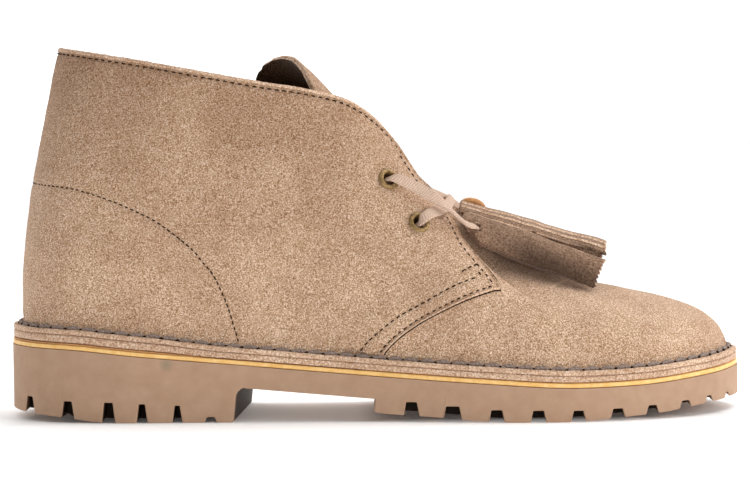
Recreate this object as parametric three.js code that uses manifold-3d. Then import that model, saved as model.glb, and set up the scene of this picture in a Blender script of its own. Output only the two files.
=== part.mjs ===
// Chukka boot with a stitchdown sole, right foot. Millimetres, +X to the toe, +Z up, outer side on -Y.
// The origin is on the floor, under the middle of the boot's box.
import * as THREE from 'three';
import * as BufferGeometryUtils from 'three/addons/utils/BufferGeometryUtils.js';
import Module from 'manifold-3d';

const wasm = await Module();
wasm.setup();

// ---- Driving dimensions ------------------------------------------------------------------------
const GAP = 0.3; // between pieces that touch
const WALL = 2.2; // suede of the upper, with its lining
const FLANGE = 2.0; // thickness of the upper's turned-out foot
const FLANGE_WIDTH_HEEL = 4.2; // how far the foot stands out of the upper
const FLANGE_WIDTH_TOE = 4.3;
const FLANGE_INSET = 0.5; // edge of the flange inside the edge of the sole
const WELT = 2.0; // lower suede layer
const FILLER = 1.2; // pale layer at the heel
const FILLER_FRONT = -62; // where it runs out
const MIDSOLE = 1.8; // yellow line
const SLAB = 9.0; // rubber between the midsole and the lugs
const INSOLE = 3.0;
const BREAST = -57.5; // front of the heel block at the floor
const BREAST_LEAN = 4.5; // how far it leans forward up to the slab
const BREAST_SLANT = 0.07; // how far it runs forward for each mm towards the inner side
const FOREFOOT = -1; // back of the forefoot lugs

// The sole's edge, from the back of the heel to the toe: x, and y on the outer and inner side.
const SOLE_EDGE = [
  { x: -150, outer: 0, inner: 0 },
  { x: -145.5, outer: -18, inner: 18 },
  { x: -132, outer: -31.5, inner: 31 },
  { x: -108, outer: -38.5, inner: 37.5 },
  { x: -76, outer: -40, inner: 37 },
  { x: -44, outer: -40.8, inner: 34.5 },
  { x: -15, outer: -42.8, inner: 33.8 },
  { x: 10, outer: -46, inner: 36.5 },
  { x: 30, outer: -49.5, inner: 41.5 },
  { x: 48, outer: -52.2, inner: 47 },
  { x: 64, outer: -53.5, inner: 51.5 },
  { x: 80, outer: -53, inner: 53.4 },
  { x: 96, outer: -50.5, inner: 52.8 },
  { x: 113, outer: -44.5, inner: 49 },
  { x: 129, outer: -34.5, inner: 40.5 },
  { x: 142, outer: -20, inner: 28 },
  { x: 150, outer: 4, inner: 4 },
];

// The upper, one row for each line that climbs from the sole's edge to the opening, in the same
// order. Each line is a cubic Bezier curve: it leaves the foot towards a point `out` and `up` from
// it, bends at `high`, and ends at `top` on the edge of the collar, facing or throat.
const UPPER_LINES = [
  { out: 2.6, outIn: 2.6, up: 33, high: [-137.9, 0, 110], top: [-129.3, 0, 151.2] },
  { out: 2.6, outIn: 2.6, up: 33, high: [-134.2, -14, 109.5], top: [-126.2, -12, 150.7] },
  { out: 2.6, outIn: 2.6, up: 33, high: [-122.5, -25, 108.5], top: [-115.5, -21.5, 149] },
  { out: 2.5, outIn: 2.5, up: 33, high: [-101, -31.5, 107], top: [-96, -28.5, 145.7] },
  { out: 2.5, outIn: 3.5, up: 33, high: [-73, -33.5, 105], top: [-71, -31.5, 141] },
  { out: 2.5, outIn: 5, up: 32, high: [-46, -34, 103], top: [-46, -32, 136.3] },
  { out: 2.5, outIn: 6, up: 30, high: [-23, -34, 98], top: [-25, -29.5, 132.8] },
  { out: 2, outIn: 5.5, up: 27, high: [-4, -33.5, 91], top: [-8, -24, 127.5] },
  { out: 2, outIn: 4.5, up: 25, high: [12, -32.5, 83], top: [6, -16.5, 115.5] },
  { out: 2, outIn: 3.5, up: 23, high: [26.5, -34, 71], top: [18.8, -13.5, 96.4] },
  { out: 2, outIn: 3, up: 21, high: [40, -36, 60.5], top: [31, -15.5, 79] },
  { out: 2, outIn: 2.5, up: 19, high: [55, -38, 51.5], top: [42.5, -23, 62.7] },
  { out: 2, outIn: 2.5, up: 18, high: [66, -40, 44.5], top: [50.4, -32, 51.8] },
  { out: 2, outIn: 2, up: 19, high: [79, -31.5, 46.3], top: [53.2, -23, 56.4] },
  { out: 1.5, outIn: 1.5, up: 21, high: [88, -20, 46.8], top: [55.3, -14.5, 59.4] },
  { out: 0.8, outIn: 0.8, up: 23.8, high: [93, -9.5, 46.7], top: [56.6, -7, 60.9] },
  { out: -0.8, outIn: -0.8, up: 25.5, high: [95, 0, 46.5], top: [57, 0, 61.3] },
];

// Height of the top of the midsole, and of the tread under the forefoot and the heel, along x.
const MIDSOLE_TOP = [
  [-150, 32.2], [-125, 31.4], [-95, 28.5], [-60, 25.4], [-25, 22.3], [10, 19.5],
  [45, 17.2], [80, 15.4], [105, 15.9], [130, 17.9], [150, 19.9],
];
const FOREFOOT_TREAD = [
  [-1, 5.6], [3.4, 3.2], [22, 2.1], [39, 0.8], [50, 0], [74, 0], [88, 0.7], [102, 1.7], [115, 2.6],
  [127, 4], [138, 5.1], [150, 5.8],
];
const HEEL_TREAD = [[-150, 3.9], [-128, 2.2], [-106, 0], [-50, 0]];

// Grooves that open at the sole's edge: middle, width at the tread, and depth above it.
const EDGE_GROOVES = [
  { x: -140.6, width: 3.6, depth: 6.6 },
  { x: -124.3, width: 4.6, depth: 6.8 },
  { x: -107.6, width: 4.8, depth: 8.2 },
  { x: -94.1, width: 3.8, depth: 7.6 },
  { x: -79.9, width: 3.4, depth: 6.9 },
  { x: -66.5, width: 4.4, depth: 2.2 },
  { x: 13.9, width: 5.6, depth: 5.4 },
  { x: 30.2, width: 6.6, depth: 4.9 },
  { x: 47.6, width: 5.6, depth: 4.9 },
  { x: 64.1, width: 5.6, depth: 4.7 },
  { x: 80, width: 5.2, depth: 4.3 },
  { x: 95.8, width: 5.2, depth: 3.7 },
  { x: 110, width: 4.6, depth: 3.4 },
  { x: 124, width: 4.4, depth: 2.9 },
  { x: 134.5, width: 3, depth: 2.7 },
  { x: 143.2, width: 2.2, depth: 2.2 },
];
// Cuts across the middle lugs.
const FOREFOOT_CUTS = [26, 44, 62, 80, 98];
const HEEL_CUTS = [-112, -98, -84];
const MIDDLE_DEPTH = 4.3; // height of the channels' and cuts' roof above the floor
const GROOVE_REACH = 17; // how far an edge groove runs in from the edge
const CHANNEL = 4.5; // width of the channels around the middle lugs
const FOREFOOT_CHANNEL = 20; // their distance from the boot's middle
const HEEL_CHANNEL = 15;

// Middles of the eyelets, seen from the side.
const EYELETS = [
  { name: 'upper', x: 6, z: 96.4 },
  { name: 'lower', x: 18, z: 79 },
];
const EYELET_HOLE = 3.6; // radius of the hole in the suede

// The tongue's middle line, from under the vamp to its top, with half its width along the curve,
// the radius of its cross-section and its turn about the upright, in degrees.
const TONGUE = [
  { x: 68, z: 53.2, half: 26, radius: 40, turn: 0 },
  { x: 57, z: 58.3, half: 26, radius: 34, turn: 0 },
  { x: 45, z: 67.4, half: 25, radius: 28, turn: 0 },
  { x: 32.5, z: 79.2, half: 24, radius: 24, turn: 0 },
  { x: 20, z: 93.2, half: 24, radius: 22, turn: 0 },
  { x: 8.5, z: 106.5, half: 24, radius: 22, turn: 4 },
  { x: -4, z: 118.5, half: 25, radius: 23, turn: 12 },
  { x: -15.5, z: 128.5, half: 28, radius: 25, turn: 24 },
  { x: -26, z: 138, half: 31, radius: 27, turn: 33 },
  { x: -36, z: 147, half: 32, radius: 28, turn: 36 },
];
const TONGUE_WALL = 2;
const TONGUE_ROUND = 0.12; // how much shorter it is at its edges

// The fringe lies like a saddle over the instep: laced end, size, and how it curves.
const FRINGE = {
  start: { x: 35.5, z: 85.4 },
  slope: 16,
  length: 60,
  half: 28.5,
  strip: 16,
  neck: 14,
  radius: 30,
  radiusEnd: 20,
  sag: 3.2,
  round: 7, // how far its laced corners are rounded off
  taper: 9, // how much its outer strips are cut shorter
  gape: 3, // width of its slits at the free end
  tooth: 1.3,
  layer: 1.3,
};
const FRINGE_LOOP = { x: 40.6, y: 9, z: 84.4, half: 5.6, height: 3.8, thick: 2.3, width: 8 };

const LACE_RADIUS = 1.2;
// The upper strands, from the eyelet to the fringe.
const LACE_OUTER = [
  [7.2, -30.8, 97.4], [11.5, -30.2, 95.4], [18.4, -28.4, 92.2], [23.5, -28, 89.4],
  [28, -27.2, 86.6], [33.5, -25, 82.8], [37.5, -23.2, 80.2], [40.8, -22.4, 78.4],
];
const LACE_INNER = [
  [7.2, 30.8, 97.4], [11.5, 30.2, 96], [18.4, 28, 93.2], [24, 25.4, 90.6],
  [29.5, 22.8, 88.2], [34, 20.6, 86], [37.5, 20.4, 83.4], [40.2, 21.6, 80],
];
// The lower strand of the outer side, over the facing to the far side; the other mirrors it.
const LACE_CROSSING = [
  [20.6, -34.6, 82.6], [23, -30.4, 84], [26, -24.8, 85.2], [28.8, -17, 86], [30, -8, 86.8],
  [30, 0, 87.6], [28.4, 6, 88.6], [26.6, 9.6, 89.8],
];

// ---- Small helpers -----------------------------------------------------------------------------
const UP = new THREE.Vector3(0, 0, 1);

function material(color, roughness, metalness = 0) {
  return new THREE.MeshStandardMaterial({ color, roughness, metalness });
}

function piece(name, geometry, look) {
  const mesh = new THREE.Mesh(geometry, look);
  mesh.name = name;
  return mesh;
}

// A smooth curve through a table of [position, value] rows, read at x. It never overshoots a row.
function along(table, x) {
  const last = table.length - 1;
  let k = 0;
  while (k < last - 1 && x > table[k + 1][0]) k += 1;
  const secant = (i) => {
    const j = Math.min(last - 1, Math.max(0, i));
    return (table[j + 1][1] - table[j][1]) / (table[j + 1][0] - table[j][0]);
  };
  const slope = (i) => {
    const [a, b] = [secant(i - 1), secant(i)];
    return a * b <= 0 ? 0 : (2 * a * b) / (a + b);
  };
  const [x0, y0] = table[k];
  const [x1, y1] = table[k + 1];
  const span = x1 - x0;
  const t = THREE.MathUtils.clamp((x - x0) / span, 0, 1);
  const blend = t * t * (3 - 2 * t);
  const ease = t * (1 - t) * ((1 - t) * slope(k) - t * slope(k + 1));
  return y0 + (y1 - y0) * blend + span * ease;
}

function toSolid(geometry) {
  const bare = geometry.clone();
  bare.deleteAttribute('normal');
  bare.deleteAttribute('uv');
  const merged = BufferGeometryUtils.mergeVertices(bare, 1e-4);
  const mesh = new wasm.Mesh({
    numProp: 3,
    vertProperties: new Float32Array(merged.attributes.position.array),
    triVerts: new Uint32Array(merged.index.array),
  });
  return new wasm.Manifold(mesh);
}

function toGeometry(solid) {
  const { vertProperties, triVerts, numProp } = solid.getMesh();
  const positions = new Float32Array((vertProperties.length / numProp) * 3);
  for (let i = 0; i < positions.length / 3; i += 1) {
    positions.set(vertProperties.subarray(i * numProp, i * numProp + 3), i * 3);
  }
  const geometry = new THREE.BufferGeometry();
  geometry.setAttribute('position', new THREE.BufferAttribute(positions, 3));
  geometry.setIndex(new THREE.BufferAttribute(new Uint32Array(triVerts), 1));
  return geometry;
}

function subtractAll(base, cutters) {
  return cutters.reduce((solid, cutter) => solid.subtract(toSolid(cutter)), toSolid(base));
}

// Sections, each a closed loop of the same number of points, joined into a closed ring of sections.
function ringOfLoops(loops) {
  const count = loops.length;
  const size = loops[0].length;
  const positions = loops.flatMap((loop) => loop.flatMap((p) => [p.x, p.y, p.z]));
  const index = [];
  for (let i = 0; i < count; i += 1) {
    const next = (i + 1) % count;
    for (let j = 0; j < size; j += 1) {
      const up = (j + 1) % size;
      const [a, b] = [i * size + j, next * size + j];
      const [c, d] = [next * size + up, i * size + up];
      index.push(a, b, c, a, c, d);
    }
  }
  const geometry = new THREE.BufferGeometry();
  geometry.setAttribute('position', new THREE.Float32BufferAttribute(positions, 3));
  geometry.setIndex(index);
  return geometry;
}

// A sheet of even thickness on a grid of points. `has(i, j)` leaves cells out.
function sheet(columns, rows, point, thickness, has = () => true) {
  const grid = [];
  for (let i = 0; i <= columns; i += 1) {
    for (let j = 0; j <= rows; j += 1) grid.push(point(i / columns, j / rows));
  }
  const at = (i, j) => grid[i * (rows + 1) + j];
  const positions = [];
  const under = [];
  for (let i = 0; i <= columns; i += 1) {
    for (let j = 0; j <= rows; j += 1) {
      const du = at(Math.min(i + 1, columns), j).clone().sub(at(Math.max(i - 1, 0), j));
      const dv = at(i, Math.min(j + 1, rows)).clone().sub(at(i, Math.max(j - 1, 0)));
      const normal = du.cross(dv).normalize();
      const p = at(i, j);
      positions.push(p.x, p.y, p.z);
      under.push(...p.clone().addScaledVector(normal, -thickness).toArray());
    }
  }
  const shift = positions.length / 3;
  positions.push(...under);
  const id = (i, j) => i * (rows + 1) + j;
  const filled = (i, j) => i >= 0 && j >= 0 && i < columns && j < rows && has(i, j);
  const index = [];
  const quad = (a, b, c, d) => index.push(a, b, c, a, c, d);
  for (let i = 0; i < columns; i += 1) {
    for (let j = 0; j < rows; j += 1) {
      if (!filled(i, j)) continue;
      const [a, b, c, d] = [id(i, j), id(i + 1, j), id(i + 1, j + 1), id(i, j + 1)];
      quad(a, b, c, d);
      quad(d + shift, c + shift, b + shift, a + shift);
      if (!filled(i, j - 1)) quad(a, a + shift, b + shift, b);
      if (!filled(i + 1, j)) quad(b, b + shift, c + shift, c);
      if (!filled(i, j + 1)) quad(c, c + shift, d + shift, d);
      if (!filled(i - 1, j)) quad(d, d + shift, a + shift, a);
    }
  }
  const geometry = new THREE.BufferGeometry();
  geometry.setAttribute('position', new THREE.Float32BufferAttribute(positions, 3));
  geometry.setIndex(index);
  return dropUnused(geometry);
}

function dropUnused(geometry) {
  const soup = geometry.toNonIndexed();
  return BufferGeometryUtils.mergeVertices(soup, 1e-4);
}

// ---- Sole's edge and heights -------------------------------------------------------------------
const ROWS = SOLE_EDGE.length - 1;

// A ring of rows: outer side from the heel to the toe, then inner side back to the heel.
function ringOf(outer, inner) {
  const ring = [];
  for (let k = 0; k <= ROWS; k += 1) ring.push(outer(k));
  for (let k = ROWS - 1; k > 0; k -= 1) ring.push(inner(k));
  return ring;
}

const soleEdge = new THREE.CatmullRomCurve3(
  ringOf(
    (k) => new THREE.Vector3(SOLE_EDGE[k].x, SOLE_EDGE[k].outer, 0),
    (k) => new THREE.Vector3(SOLE_EDGE[k].x, SOLE_EDGE[k].inner, 0),
  ),
  true,
  'catmullrom',
  0.5,
);

const midsoleTop = (x) => along(MIDSOLE_TOP, x);
const fillerAt = (x) => FILLER * THREE.MathUtils.smoothstep(FILLER_FRONT - x, 0, 30);
const weltTop = (x) => midsoleTop(x) + fillerAt(x) + WELT + 2 * GAP;
const flangeBottom = (x) => weltTop(x) + GAP;
const flangeTop = (x) => flangeBottom(x) + FLANGE;

// Point on the sole's edge, moved inwards along its own normal.
function edgePoint(u, inset) {
  const p = soleEdge.getPoint(u);
  const t = soleEdge.getTangent(u);
  return new THREE.Vector3(p.x - t.y * inset, p.y + t.x * inset, 0);
}

function flangeWidth(x) {
  return THREE.MathUtils.mapLinear(x, -150, 150, FLANGE_WIDTH_HEEL, FLANGE_WIDTH_TOE);
}

function planShape(inset, count = 72) {
  const points = [];
  for (let i = 0; i < count; i += 1) {
    const p = edgePoint(i / count, inset);
    points.push(new THREE.Vector2(p.x, p.y));
  }
  return new THREE.Shape(points);
}

// The outline seen from above, as a tall prism.
function planPrism(inset) {
  return new THREE.ExtrudeGeometry(planShape(inset), { depth: 90, bevelEnabled: false })
    .translate(0, 0, -20);
}

// A band seen from the side, between two height functions, as wide as the boot.
function sidePrism(from, to, bottom, top, steps) {
  const points = [];
  for (let i = 0; i <= steps; i += 1) {
    const x = THREE.MathUtils.lerp(from, to, i / steps);
    points.push(new THREE.Vector2(x, bottom(x)));
  }
  for (let i = steps; i >= 0; i -= 1) {
    const x = THREE.MathUtils.lerp(from, to, i / steps);
    points.push(new THREE.Vector2(x, top(x)));
  }
  return new THREE.ExtrudeGeometry(new THREE.Shape(points), { depth: 140, bevelEnabled: false })
    .rotateX(Math.PI / 2)
    .translate(0, 70, 0);
}

function layer(inset, from, to, bottom, top, steps = 28) {
  const band = toSolid(sidePrism(from, to, bottom, top, steps));
  return toSolid(planPrism(inset)).intersect(band);
}

// ---- Outsole -----------------------------------------------------------------------------------
const slabTop = (x) => midsoleTop(x) - MIDSOLE - GAP;
const slabBottom = (x) => slabTop(x) - SLAB;

// A groove across the tread, wider at the mouth, on one side of the sole.
function edgeGroove({ x, width, depth }, side) {
  const tread = x < BREAST ? along(HEEL_TREAD, x) : along(FOREFOOT_TREAD, x);
  const mouth = width / 2 + 0.3;
  const roof = width / 2 - 0.7;
  const shape = new THREE.Shape([
    new THREE.Vector2(-mouth, -6),
    new THREE.Vector2(mouth, -6),
    new THREE.Vector2(mouth, 0),
    new THREE.Vector2(roof, depth),
    new THREE.Vector2(-roof, depth),
    new THREE.Vector2(-mouth, 0),
  ]);
  const edge = edgeAt(x, side);
  return new THREE.ExtrudeGeometry(shape, { depth: GROOVE_REACH + 12, bevelEnabled: false })
    .rotateX(Math.PI / 2)
    .translate(x, edge + (side > 0 ? 12 : GROOVE_REACH), tread);
}

// y of the sole's edge at x, on the side of that sign.
function edgeAt(x, side) {
  const rows = SOLE_EDGE.map((row) => [row.x, side > 0 ? row.inner : row.outer]);
  return along(rows, x);
}

// Straight channels that part the middle lugs from the edge lugs, and cuts between middle lugs.
function middleCut(from, to, y, width) {
  const below = 6;
  return new THREE.BoxGeometry(to - from, width, MIDDLE_DEPTH + below)
    .translate((from + to) / 2, y, (MIDDLE_DEPTH - below) / 2);
}

// The heel block seen from the side: level tread, and a front face that curves into the arch.
function heelPrism() {
  const steps = 12;
  const shape = new THREE.Shape();
  shape.moveTo(-152, along(HEEL_TREAD, -150));
  for (let i = 0; i <= steps; i += 1) {
    const x = THREE.MathUtils.lerp(-150, BREAST, i / steps);
    shape.lineTo(x, along(HEEL_TREAD, x));
  }
  const front = BREAST + BREAST_LEAN;
  shape.quadraticCurveTo(BREAST + 1, slabBottom(BREAST) - 3, front, slabBottom(front) + 1);
  shape.lineTo(-152, slabBottom(-152) + 1);
  shape.closePath();
  const outerSide = SOLE_EDGE[4].outer;
  const slant = new THREE.Matrix4().makeShear(0, 0, BREAST_SLANT, 0, 0, 0);
  return new THREE.ExtrudeGeometry(shape, { depth: 140, bevelEnabled: false, curveSegments: 6 })
    .rotateX(Math.PI / 2)
    .translate(0, 70 - outerSide, 0)
    .applyMatrix4(slant)
    .translate(0, outerSide, 0);
}

function outsole() {
  const plan = toSolid(planPrism(0));
  const slab = layer(0, -152, 152, slabBottom, slabTop, 34);
  const heel = plan.intersect(toSolid(heelPrism()));
  const lugs = layer(
    0, FOREFOOT, 152, (x) => along(FOREFOOT_TREAD, x), (x) => slabBottom(x) + 1, 22,
  );
  const cutters = EDGE_GROOVES.flatMap((groove) => [edgeGroove(groove, -1), edgeGroove(groove, 1)]);
  const half = CHANNEL / 2;
  for (const side of [-1, 1]) {
    cutters.push(middleCut(12, 112, side * FOREFOOT_CHANNEL, CHANNEL));
    cutters.push(middleCut(-128, -70, side * HEEL_CHANNEL, CHANNEL));
  }
  for (const x of FOREFOOT_CUTS) cutters.push(middleCut(x - half, x + half, 0, 2 * FOREFOOT_CHANNEL));
  for (const x of HEEL_CUTS) cutters.push(middleCut(x - half, x + half, 0, 2 * HEEL_CHANNEL));
  const whole = slab.add(heel).add(lugs);
  return toGeometry(cutters.reduce((solid, cutter) => solid.subtract(toSolid(cutter)), whole));
}

// ---- Layers between the outsole and the upper --------------------------------------------------
function midsole() {
  return toGeometry(layer(0.2, -152, 152, (x) => midsoleTop(x) - MIDSOLE, midsoleTop));
}

function heelFiller() {
  const back = FILLER_FRONT - 12;
  return toGeometry(
    layer(0.5, -152, back, (x) => midsoleTop(x) + GAP, (x) => midsoleTop(x) + GAP + fillerAt(x), 12),
  );
}

function welt() {
  return toGeometry(layer(0.4, -152, 152, (x) => weltTop(x) - WELT, weltTop));
}

// ---- Upper -------------------------------------------------------------------------------------
function footPoint(u) {
  const edge = soleEdge.getPoint(u);
  const p = edgePoint(u, FLANGE_INSET + flangeWidth(edge.x));
  return p.setZ(flangeTop(p.x));
}

// The four control rings of the upper's outer face.
const controlRings = (() => {
  const count = 2 * ROWS;
  const rows = ringOf((k) => [k, -1], (k) => [k, 1]);
  const feet = [];
  const lows = [];
  const highs = [];
  const tops = [];
  rows.forEach(([k, side], i) => {
    const line = UPPER_LINES[k];
    const foot = footPoint(i / count);
    const t = soleEdge.getTangent(i / count);
    const out = side > 0 ? line.outIn : line.out;
    const onSideOf = ([x, y, z]) => new THREE.Vector3(x, -side * y, z);
    feet.push(foot);
    lows.push(foot.clone().add(new THREE.Vector3(t.y * out, -t.x * out, line.up)));
    highs.push(onSideOf(line.high));
    tops.push(onSideOf(line.top));
  });
  return [feet, lows, highs, tops].map(
    (points) => new THREE.CatmullRomCurve3(points, true, 'catmullrom', 0.5),
  );
})();

// Outer face of the upper: u runs round the foot, v climbs from the sole to the opening.
function upperPoint(u, v) {
  const w = 1 - v;
  const weights = [w * w * w, 3 * w * w * v, 3 * w * v * v, v * v * v];
  const p = new THREE.Vector3();
  controlRings.forEach((ring, i) => p.addScaledVector(ring.getPoint(u), weights[i]));
  return p;
}

function upperNormal(u, v) {
  const step = 1e-3;
  const du = upperPoint((u + step) % 1, v).sub(upperPoint((u - step + 1) % 1, v));
  const v0 = Math.max(v - step, 0);
  const v1 = Math.min(v + step, 1);
  const dv = upperPoint(u, v1).sub(upperPoint(u, v0));
  return du.cross(dv).normalize();
}

function upperSkin(u, v, depth) {
  return upperPoint(u, v).addScaledVector(upperNormal(u, v), -depth);
}

// The wall of the upper as one closed solid, grown by `margin` on every face.
function upperShell(columns, levels, margin = 0) {
  const loops = [];
  for (let i = 0; i < columns; i += 1) {
    const u = i / columns;
    const rim = edgePoint(u, FLANGE_INSET - margin);
    const inside = edgePoint(u, FLANGE_INSET + flangeWidth(rim.x) + WALL + margin);
    const bottom = flangeBottom(rim.x) - margin;
    const loop = [
      new THREE.Vector3(inside.x, inside.y, flangeBottom(inside.x) - margin),
      new THREE.Vector3(rim.x, rim.y, bottom),
      new THREE.Vector3(rim.x, rim.y, bottom + FLANGE + 2 * margin),
    ];
    for (let j = 0; j <= levels; j += 1) loop.push(upperSkin(u, j / levels, -margin));
    for (let j = levels; j > 0; j -= 1) loop.push(upperSkin(u, j / levels, WALL + margin));
    loops.push(loop);
  }
  return ringOfLoops(loops);
}

// Where the upper's outer face passes a place seen from the side: a search over u and v.
function onSide(x, z, side) {
  const best = { u: side < 0 ? 0.25 : 0.75, v: 0.5, far: Infinity };
  for (let step = 0.12; step > 1e-5; step *= 0.6) {
    const { u: u0, v: v0 } = best;
    for (let i = -3; i <= 3; i += 1) {
      for (let j = -3; j <= 3; j += 1) {
        const u = THREE.MathUtils.clamp(u0 + (i * step) / 2, side < 0 ? 0 : 0.5, side < 0 ? 0.5 : 1);
        const v = THREE.MathUtils.clamp(v0 + j * step, 0, 1);
        const p = upperPoint(u, v);
        const far = Math.hypot(p.x - x, p.z - z);
        if (far < best.far) Object.assign(best, { u, v, far });
      }
    }
  }
  return { point: upperPoint(best.u, best.v), normal: upperNormal(best.u, best.v) };
}

const eyeletSeats = EYELETS.flatMap(({ name, x, z }) => [
  { name: `eyelet_outer_${name}`, ...onSide(x, z, -1) },
  { name: `eyelet_inner_${name}`, ...onSide(x, z, 1) },
]);

function turned(geometry, { point, normal }) {
  const turn = new THREE.Quaternion().setFromUnitVectors(new THREE.Vector3(0, 1, 0), normal);
  return geometry.applyQuaternion(turn).translate(point.x, point.y, point.z);
}

function upper() {
  const holes = eyeletSeats.map((seat) =>
    turned(new THREE.CylinderGeometry(EYELET_HOLE, EYELET_HOLE, 9, 12), seat));
  return toGeometry(subtractAll(upperShell(72, 8), holes));
}

// ---- Eyelets -----------------------------------------------------------------------------------
// A pressed ring: its rim lies on the suede and its barrel goes through.
function eyelet(seat) {
  const seatHeight = 0.45;
  const profile = [
    [2.6, -WALL], [3.1, -WALL], [3.1, seatHeight], [4.5, seatHeight], [4.5, seatHeight + 0.4],
    [3.9, seatHeight + 0.8], [3.1, seatHeight + 0.8], [2.6, seatHeight + 0.4], [2.6, -WALL],
  ].map(([r, y]) => new THREE.Vector2(r, y));
  return turned(new THREE.LatheGeometry(profile, 14), seat);
}

// ---- Insole ------------------------------------------------------------------------------------
function insole() {
  const bottom = (x) => weltTop(x) + GAP;
  const inset = FLANGE_INSET + FLANGE_WIDTH_TOE + WALL + 5 * GAP;
  return toGeometry(layer(inset, -152, 152, bottom, (x) => bottom(x) + INSOLE, 20));
}

// ---- Tongue ------------------------------------------------------------------------------------
const tongueLine = new THREE.CatmullRomCurve3(
  TONGUE.map(({ x, z }) => new THREE.Vector3(x, 0, z)), false, 'centripetal',
);

function tongueValue(key, t) {
  return along(TONGUE.map((row, i) => [i / (TONGUE.length - 1), row[key]]), t);
}

// w runs across from the outer edge (0) to the inner edge (1), s up the tongue.
function tonguePoint(w, s) {
  const side = 2 * w - 1;
  const t = s * (1 - TONGUE_ROUND * Math.abs(side) ** 3);
  const centre = tongueLine.getPoint(t);
  const along3 = tongueLine.getTangent(t);
  const out = new THREE.Vector3(along3.z, 0, -along3.x);
  const across = new THREE.Vector3(0, 1, 0);
  const turn = THREE.MathUtils.degToRad(tongueValue('turn', t));
  out.applyAxisAngle(UP, turn);
  across.applyAxisAngle(UP, turn);
  const radius = tongueValue('radius', t);
  const angle = (side * tongueValue('half', t)) / radius;
  return centre
    .addScaledVector(across, radius * Math.sin(angle))
    .addScaledVector(out, radius * (Math.cos(angle) - 1));
}

function tongue() {
  const solid = toSolid(sheet(8, 20, tonguePoint, TONGUE_WALL));
  return toGeometry(solid.subtract(toSolid(upperShell(72, 8, GAP))));
}

// ---- Fringe ------------------------------------------------------------------------------------
// s runs from the laced end to the cut ends, t from the outer edge to the inner edge, in mm.
function fringePoint(s, t, depth) {
  const fall = Math.tan(THREE.MathUtils.degToRad(FRINGE.slope));
  const part = s / FRINGE.length;
  const radius = THREE.MathUtils.lerp(FRINGE.radius, FRINGE.radiusEnd, part);
  const angle = t / radius;
  const wing = Math.max(0, Math.abs(t) - FRINGE.strip / 2) / FRINGE.strip;
  const sag = FRINGE.sag * part ** 1.5 * THREE.MathUtils.smoothstep(wing, 0, 0.25);
  const hull = radius - depth;
  return new THREE.Vector3(
    FRINGE.start.x + s,
    hull * Math.sin(angle),
    FRINGE.start.z - fall * s + hull * Math.cos(angle) - radius - sag,
  );
}

// Three strips joined at the laced end, with toothed free ends and rounded laced corners.
function fringe(depth, short) {
  const columns = 13;
  const rows = 12;
  const slits = [3, 8]; // rows of cells that the slits take
  const width = 2 * FRINGE.half;
  const point = (i, j) => {
    const row = Math.round(j * rows);
    let t = (j - 0.5) * width;
    const tooth = i === 1 && row % 2 ? FRINGE.tooth : 0;
    const corner = FRINGE.round * (Math.abs(t) / FRINGE.half) ** 4 * (1 - i) ** 4;
    const taper = FRINGE.taper * Math.max(0, Math.abs(t) / FRINGE.half - 1 / 3) * i;
    const s = corner + i * (FRINGE.length - short - tooth - taper - corner);
    const slit = slits.find((k) => row === k || row === k + 1);
    if (slit !== undefined) {
      const open = THREE.MathUtils.lerp(0.5, FRINGE.gape, Math.max(0, s / FRINGE.length - 0.2));
      t = ((slit + 0.5) / rows - 0.5) * width + (row === slit ? -0.5 : 0.5) * open;
    }
    return fringePoint(s, t, depth);
  };
  const has = (i, j) => !(slits.includes(j) && (i / columns) * FRINGE.length >= FRINGE.neck);
  return sheet(columns, rows, point, FRINGE.layer, has);
}

// A strap bent into an arch on the fringe's laced end.
function fringeLoop() {
  const { half, height, thick, width } = FRINGE_LOOP;
  const arch = (a, b) => new THREE.EllipseCurve(0, 0, a, b, 0, Math.PI).getPoints(14);
  const inner = arch(half - thick, height - thick).reverse();
  const outline = new THREE.Shape([...arch(half, height), ...inner]);
  return new THREE.ExtrudeGeometry(outline, { depth: width, bevelEnabled: false })
    .rotateX(Math.PI / 2)
    .rotateY(THREE.MathUtils.degToRad(FRINGE.slope))
    .translate(FRINGE_LOOP.x, FRINGE_LOOP.y, FRINGE_LOOP.z);
}

// ---- Laces -------------------------------------------------------------------------------------
function tube(points, radius, stepsPerPoint = 2) {
  const path = new THREE.CatmullRomCurve3(points.map((p) => new THREE.Vector3(...p)));
  const section = new THREE.Shape();
  section.absarc(0, 0, radius, 0, 2 * Math.PI, false);
  return new THREE.ExtrudeGeometry(section, {
    steps: points.length * stepsPerPoint,
    curveSegments: 4,
    bevelEnabled: false,
    extrudePath: path,
  });
}

const mirrored = (points) => points.map(([x, y, z]) => [x, -y, z]);

function laceCrossing() {
  const outer = toSolid(tube(LACE_CROSSING, LACE_RADIUS));
  return toGeometry(outer.add(toSolid(tube(mirrored(LACE_CROSSING), LACE_RADIUS))));
}

// ---- The boot ----------------------------------------------------------------------------------
const boot = new THREE.Group();
const suede = () => material(0xbea082, 0.95);
const cotton = () => material(0xcdb4a0, 0.9);
boot.add(piece('outsole', outsole(), material(0xad8c74, 0.7)));
boot.add(piece('midsole', midsole(), material(0xf0c46a, 0.6)));
boot.add(piece('heel_filler', heelFiller(), material(0xc08a5a, 0.8)));
boot.add(piece('welt', welt(), suede()));
boot.add(piece('upper', upper(), suede()));
boot.add(piece('insole', insole(), material(0x6b5240, 0.9)));
boot.add(piece('tongue', tongue(), suede()));
for (const seat of eyeletSeats) {
  boot.add(piece(seat.name, eyelet(seat), material(0x967d50, 0.4, 1)));
}
boot.add(piece('lace_crossing', laceCrossing(), cotton()));
boot.add(piece('lace_end_outer', tube(LACE_OUTER, LACE_RADIUS), cotton()));
boot.add(piece('lace_end_inner', tube(LACE_INNER, LACE_RADIUS), cotton()));
boot.add(piece('fringe_top', fringe(0, 0), suede()));
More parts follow.
